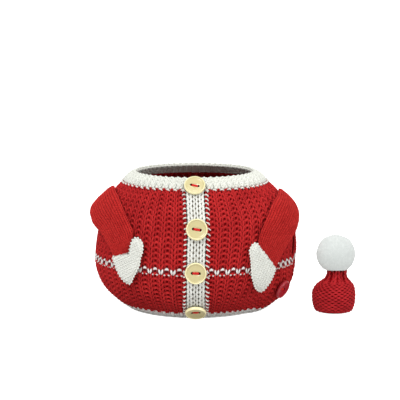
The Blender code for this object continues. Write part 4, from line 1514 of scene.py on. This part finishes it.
def knit_mitten(side, seed):
    corners = flattened(MITTEN_CORNERS[side])
    edge = smooth_through([*corners, corners[0]], steps=4)[:-1]
    slant = math.radians(COLUMN_SLANT[side] + 90)
    turned = np.array(((math.cos(slant), math.sin(slant)), (-math.sin(slant), math.cos(slant))))
    inner, outer = edge[-8] @ turned.T, edge[0] @ turned.T  # the two ends of the cuff
    past = np.array((outer[1] - inner[1], inner[0] - outer[0])) / np.linalg.norm(outer - inner)
    past *= np.sign(past @ (inner + outer - 2 * edge.mean(axis=0) @ turned.T))
    local = np.vstack([edge[:-7] @ turned.T, inner + 5 * past, outer + 5 * past])
    low, high = local.min(axis=0) - 2.5, local.max(axis=0) + 2.5
    columns = math.ceil((high[0] - low[0]) / PLAIN_WIDE)
    rows = math.ceil((high[1] - low[1]) / PLAIN_TALL)
    high = low + np.array((columns * PLAIN_WIDE, rows * PLAIN_TALL))
    places = (np.linspace(low[0], high[0], columns * 2 + 1), np.linspace(low[1], high[1], rows * 2 + 1))
    u, v = np.meshgrid(*places)
    flat = np.stack((u, v), axis=2)
    depth, nearest = depth_inside(flat, local)
    outside = depth < 0
    laid_flat = np.where(outside[..., None], nearest + (flat - nearest) * 0.12, flat)
    fall = np.clip(1 - depth / MITTEN_ROUNDING, 0, 1)
    bulge = np.sqrt(1 - fall**2)
    back = laid_flat @ turned
    rise = MITTEN_THICK / 2 * (1 + bulge) + np.clip(depth, -2.0, 0)
    angle = np.degrees(back[..., 0] / FLAT_RADIUS)
    points = on_jacket(angle, back[..., 1], LIES_OFF + rise)
    cuff = outer - inner
    within = abs(((flat - inner) @ cuff) / (cuff @ cuff) - 0.5) < 0.62
    beyond_cuff = within & ((flat - inner) @ past > 0.4)
    bare = (depth < -0.5) | beyond_cuff
    size = (columns, rows)
    name = f"knit_mitten_{side}"
    made = knit(name, points, MITTEN_STITCH, *size, CLOSE_WOOL, bare=bare, seed=seed, deep=3.2)

    on_edge = np.where(outside[..., None], nearest, flat) @ turned
    angle = np.degrees(on_edge[..., 0] / FLAT_RADIUS)
    heights = [LIES_OFF + MITTEN_THICK / 2 * (1 + k * bulge) for k in (0.7, -0.9)]
    faces = [on_jacket(angle, on_edge[..., 1], height) for height in heights]
    pad = solid(f"mitten_cloth_{side}", [closed_patch(*faces, (depth > 0) & ~beyond_cuff)], WHITE_FELT)

    closed = even_ring(np.column_stack((edge, np.zeros(len(edge)))), BORDER_WAVES * 5)[:, :2]
    along = np.gradient(closed, axis=0)
    square = np.stack((along[:, 1], -along[:, 0]), axis=1) / np.linalg.norm(along, axis=1)[:, None]
    square *= np.sign((square * (closed - closed.mean(axis=0))).sum())
    wave = np.cos(np.linspace(0, 2 * np.pi * BORDER_WAVES, len(closed)))[:, None]
    knots = closed + square * (0.9 * wave - 0.25)
    proud = LIES_OFF + MITTEN_THICK / 2 + 0.5 + 0.35 * wave[:, 0]
    border = Yarn()
    border.strand(on_jacket(np.degrees(knots[:, 0] / FLAT_RADIUS), knots[:, 1], proud), 0.7, 5, 1)
    border = laid(f"mitten_edge_{side}", border, CLOSE_WOOL)
    print(f"mitten {side}: {columns} columns and {rows} rows before it is cut to shape")
    return [made, pad, border]


mittens = {side: knit_mitten(side, seed) for seed, side in enumerate(("left", "right"), 41)}

# %% [markdown]
# ## Hat
# The hat is a little bag knitted in thicker wool with its purl side out, so each row is one wavy line of
# yarn, and small dark holes sit under its arches. Near the top it is drawn in to a narrow ribbed neck. It
# is worn on the knob of the pot's lid, and here it stands on its own rim beside the jacket.

# %% Knit the hat
HAT_HEIGHT, HAT_RIBS, NECK_FOOT = 36.5, 14, 27.5
HAT_OUTSIDE = (  # radius and height
    (15.6, 0),
    (17.6, 4.0),
    (18.8, 11.0),
    (18.6, 17.5),
    (16.4, 23.0),
    (12.6, 27.0),
    (10.0, 30.0),
    (9.2, 33.5),
    (9.6, HAT_HEIGHT),
)
WAVE_WIDE, WAVE_TALL = 5.9, 3.6


def wave_stitch():
    """Two rows of the purl side: one arches up where the other hangs down, with a hole between."""
    yarn = Yarn()
    for middle, swing in ((0.25, 1), (0.75, -1)):
        route = []
        for x in np.linspace(-0.5, 0.5, 9):
            wave = swing * math.cos(2 * math.pi * x)
            route.append((x * WAVE_WIDE, (middle + 0.15 * wave) * WAVE_TALL, -1.25 + 0.55 * wave * wave))
        yarn.strand(route, 0.93, sides=6, steps=1, ends=(False, False), twist_length=1.6)
    return pattern("wave stitch", yarn, WAVE_WIDE, WAVE_TALL)


def hat_grid(low, high, rows, columns, proud=0.0):
    """The hat's surface of revolution, with the folds of its neck and a slight lean."""
    curve = smooth_through(HAT_OUTSIDE)
    length = np.r_[0, np.cumsum(np.hypot(*np.diff(curve, axis=0).T))]
    first, last = np.interp((low, high), curve[:, 1], length)
    arc = np.linspace(first, last, rows)[:, None]
    radius, height = np.interp(arc, length, curve[:, 0]), np.interp(arc, length, curve[:, 1])
    turn = np.linspace(0, 2 * np.pi, columns)[None, :]
    folds = 0.55 * ease(height, 21, 30) * (np.cos(HAT_RIBS * turn) - 1)
    reach = radius + folds + proud
    x = HAT_PLACE[0] + 2.4 * ease(height, 16, 32) + reach * np.sin(turn)
    y = HAT_PLACE[1] - reach * np.cos(turn)
    return np.stack(np.broadcast_arrays(x, y, height), axis=-1)


def neck_stitch():
    """One V of the neck, long and drawn tight, with a deep groove at each side."""
    yarn = Yarn()
    for side in (-1, 1):
        route = ((0.2, -0.25, -2.2), (0.5, 0.05, -0.95), (1.0, 0.55, -0.7))
        route += ((1.4, 0.95, -1.0), (1.5, 1.25, -2.2))
        yarn.strand([(side * x, y * WAVE_TALL, z) for x, y, z in route], 0.85, sides=6, steps=1)
    return pattern("neck stitch", yarn, WAVE_WIDE, WAVE_TALL)


def knit_hat():
    made = []
    parts = (  # name, lowest and highest place, stitch, columns and rows
        ("crown", 0.6, NECK_FOOT, wave_stitch(), 20, 9),
        ("neck", NECK_FOOT - 1.6, HAT_HEIGHT - 0.3, neck_stitch(), 10, 3),
    )
    for seed, (name, low, high, stitch, columns, rows) in enumerate(parts, 51):
        grid = hat_grid(low, high, rows * 3 + 1, HAT_RIBS * 12 + 1)
        made.append(knit(f"hat_{name}", grid, stitch, columns, rows, HAT_WOOL, True, seed=seed, deep=3.0))
    rings = 25
    # A dark sheet inside the hat's knitting: painted shade in the holes under the arches.
    sheets = [hat_grid(0.4, HAT_HEIGHT - 0.9, rings, 57, proud)[:, :-1] for proud in (-1.5, -2.7)]
    points, faces = closed_sheet(*sheets, around=True)
    count = sheets[0].shape[1]
    outer_top = range((rings - 1) * count, rings * count)
    inner_top = range((2 * rings - 1) * count, 2 * rings * count)
    faces = [f for f in faces if not set(f) <= {*outer_top, *inner_top}]
    faces += [tuple(outer_top), tuple(inner_top)]
    made.append(solid("hat_cloth", [(points, faces)], RED_SHADE))
    return made


hat = knit_hat()

# %% [markdown]
# ## Pompom
# A pompom is hundreds of ends of white wool tied at their middles and clipped to a ball. Each end frays
# into a tuft of fine hairs. One tuft is made, and Geometry Nodes set some sixteen hundred of them over a
# ball, each turned and tipped by chance, so their tips make the soft, slightly uneven edge. The ball is
# then made a little lumpy, and pressed flat where it sits on the hat.

# %% Fluff of the pompom
POMPOM_RADIUS, POMPOM_CORE, TUFTS = 17.3, 15.2, 1620
POMPOM_SEAT = HAT_HEIGHT + 0.3
POMPOM_CENTRE = (HAT_PLACE[0] + 1.4, HAT_PLACE[1], POMPOM_SEAT + 13.1)
FULL_TURN = 6.283


def tuft():
    """A few fine hairs that spread from one root, a millimetre high, as plain spikes."""
    chance = np.random.default_rng(3)
    points, faces = [], []
    for _ in range(12):
        turn, spread = chance.uniform(0, 2 * np.pi), chance.uniform(0.05, 0.9)
        root = np.array((*chance.uniform(-0.6, 0.6, 2), -0.5))
        tip = root + (spread * math.cos(turn), spread * math.sin(turn), 0)
        tip[2] = chance.uniform(0.7, 1.1)
        first = len(points)
        for k in range(3):
            a = turn + 2 * math.pi * k / 3
            points.append(root + 0.24 * np.array((math.cos(a), math.sin(a), 0)))
        points.append(tip)
        faces += [(first + k, first + (k + 1) % 3, first + 3) for k in range(3)]
        faces.append((first + 2, first + 1, first))
    mesh = bpy.data.meshes.new("tuft")
    mesh.from_pydata([tuple(p * MM) for p in points], [], faces)
    mesh.shade_smooth()
    made = as_object("tuft", mesh)
    made.hide_render = True
    return made


def pompom_tree():
    tree, given = new_tree(
        "tufts on a ball",
        "Pompom",
        Geometry=("Ball",),
        Int=("Tufts", "Seed"),
        Float=("Radius", "Wool Length"),
        Object=("Tuft",),
        Material=("Wool",),
    )

    # Even places on a ball: equal steps in height, and the golden angle from each to the next.
    points = add_node(tree, "GeometryNodePoints", {"Count": given["Tufts"], "Radius": 0.0001})
    index = tree.nodes.new("GeometryNodeInputIndex").outputs[0]
    share = sum_of(tree, "DIVIDE", sum_of(tree, "ADD", index, 0.5), given["Tufts"])
    height = sum_of(tree, "SUBTRACT", 1.0, sum_of(tree, "MULTIPLY", share, 2.0))
    squared = sum_of(tree, "MULTIPLY", height, height)
    reach = sum_of(tree, "SQRT", sum_of(tree, "SUBTRACT", 1.0, squared))
    turn = sum_of(tree, "MULTIPLY", index, math.pi * (3 - math.sqrt(5)))
    x, y = (sum_of(tree, "MULTIPLY", reach, sum_of(tree, swing, turn)) for swing in ("COSINE", "SINE"))
    outward = add_node(tree, "ShaderNodeCombineXYZ", {"X": x, "Y": y, "Z": height}).outputs[0]
    wires = {"Geometry": points.outputs[0], "Position": vector_sum(tree, "SCALE", outward, given["Radius"])}
    spots = add_node(tree, "GeometryNodeSetPosition", wires)

    def by_chance(low, high, kind="FLOAT"):
        """A number for each tuft, drawn between two others, or a vector between two."""
        ends = (0, 1) if kind == "FLOAT_VECTOR" else (2, 3)
        wires = {ends[0]: low, ends[1]: high, "Seed": given["Seed"]}
        node = add_node(tree, "FunctionNodeRandomValue", wires, data_type=kind)
        return node.outputs[0 if kind == "FLOAT_VECTOR" else 1]

    # Each tuft stands outward, tipped a little, turned about itself, and is longer or shorter.
    tipped = vector_sum(tree, "ADD", outward, by_chance((-0.35,) * 3, (0.35,) * 3, "FLOAT_VECTOR"))
    upright = add_node(tree, "FunctionNodeAlignRotationToVector", {"Vector": tipped}, axis="Z")
    wires = {"Axis": (0, 0, 1), "Angle": by_chance(0.0, FULL_TURN)}
    axis = add_node(tree, "FunctionNodeAxisAngleToRotation", wires)
    wires = {0: upright.outputs[0], 1: axis.outputs[0]}
    turned = add_node(tree, "FunctionNodeRotateRotation", wires, rotation_space="LOCAL")
    long = sum_of(tree, "MULTIPLY", by_chance(0.85, 1.12), given["Wool Length"])
    scale = add_node(tree, "ShaderNodeCombineXYZ", {"X": 1.0, "Y": 1.0, "Z": long})
    one = add_node(tree, "GeometryNodeObjectInfo", {"Object": given["Tuft"]})
    wires = {"Points": spots.outputs[0], "Instance": one.outputs["Geometry"]}
    wires |= {"Rotation": turned.outputs[0], "Scale": scale.outputs[0]}
    cast = add_node(tree, "GeometryNodeInstanceOnPoints", wires)
    dyed = with_dye(tree, cast.outputs[0], given["Seed"], "INSTANCE")
    plain = add_node(tree, "GeometryNodeRealizeInstances", {0: dyed})
    both = add_node(tree, "GeometryNodeJoinGeometry")
    tree.links.new(plain.outputs[0], both.inputs[0])
    tree.links.new(given["Ball"], both.inputs[0])
    return give_out(tree, in_wool(tree, both.outputs[0], given["Wool"]))


def fluff():
    material, tree, shader = new_material("white fluff", 1.0)
    tint = add_node(tree, "ShaderNodeAttribute", attribute_name="tint")
    colour = blend(tree, tint.outputs["Fac"], (0.44, 0.46, 0.45), (0.52, 0.54, 0.53))
    tree.links.new(colour, shader.inputs["Base Color"])
    shader.inputs["Specular IOR Level"].default_value = 0.0
    shader.inputs["Emission Color"].default_value = (0.96, 1.0, 0.97, 1)
    # Painted glow: the fluff glows a little, standing for light handed on from hair to hair.
    shader.inputs["Emission Strength"].default_value = 0.33  # light handed on from hair to hair
    return material


FLUFF = fluff()


def make_pompom():
    work = bmesh.new()
    bmesh.ops.create_icosphere(work, subdivisions=4, radius=POMPOM_CORE * MM)
    mesh = bpy.data.meshes.new("ball")
    work.to_mesh(mesh)
    work.free()
    ball = as_object("ball", mesh, FLUFF)
    single = tuft()
    made = run_tree(
        "pompom_fluff",
        ball,
        pompom_tree(),
        Tufts=TUFTS,
        Radius=POMPOM_CORE * MM,
        Wool_Length=POMPOM_RADIUS - POMPOM_CORE,
        Seed=9,
        Tuft=single,
        Wool=FLUFF,
    )
    for thing in (ball, single):
        bpy.data.objects.remove(thing)
    corners = np.empty(len(made.data.vertices) * 3)
    made.data.vertices.foreach_get("co", corners)
    corners = corners.reshape(-1, 3)
    x, y, z = corners.T / (POMPOM_RADIUS * MM)
    lumps = np.sin(5.1 * x + 1.3) * np.cos(4.3 * z + 0.4) + np.sin(6.2 * z + 4.4 * y) * np.cos(5.0 * x)
    corners = corners * (1 + 0.017 * lumps[:, None]) + placed(POMPOM_CENTRE)
    low = POMPOM_SEAT * MM
    corners[:, 2] = np.where(corners[:, 2] < low, low + (corners[:, 2] - low) * 0.02, corners[:, 2])
    made.data.vertices.foreach_set("co", corners.ravel())
    made.data.update()
    return made


pompom = make_pompom()

# %% [markdown]
# ## Tie the dress to the solid model
# Every piece moves with the one body of the model. The knitting of each part takes the place of the solid
# that stood for it. Yarn that would reach under the table is pressed on it.


def rest_on_table(piece, top=0.05 * MM):
    """Yarn that would reach under the table is pressed flat on it."""
    corners = np.empty(len(piece.data.vertices) * 3)
    piece.data.vertices.foreach_get("co", corners)
    height = corners[2::3]
    corners[2::3] = np.where(height < top, top + (height - top) * 0.02, height)
    piece.data.vertices.foreach_set("co", corners)
    piece.data.update()


def dress(node, pieces, slot):
    """These pieces stand for one solid of the model, which is hidden; slot names one of its materials, for
    the print.
    """
    for piece in pieces:
        rest_on_table(piece)
        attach(piece, "root")
    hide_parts(node)
    print(f"{node}: {len(pieces)} pieces in {slot}")


dress("jacket_body", [*body_knitting, *inside_knitting, jacket_cloth], "red_wool")
dress("collar", collar, "white_wool")
dress("placket", [*band, whips], "white_wool")
dress("hat", hat, "red_wool")
dress("pompom", [pompom], "white_wool")
for side in ("left", "right"):
    dress(f"sleeve_{side}", sleeves[side], "red_wool")
    dress(f"mitten_{side}", mittens[side], "white_wool")
for node, (button, thread) in buttons.items():
    dress(node, [button], "red_button" if node == "closure_button" else "cream_button")
    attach(thread, "root")
for stitch in [o for o in bpy.data.objects if o.hide_render and o.name.endswith("stitch")]:
    bpy.data.objects.remove(stitch)

# %% Measure and finish
shown = [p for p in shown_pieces() if "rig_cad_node" not in p]
print(len(shown), "pieces,", sum(len(p.data.loop_triangles) for p in shown if p.type == "MESH"), "triangles")
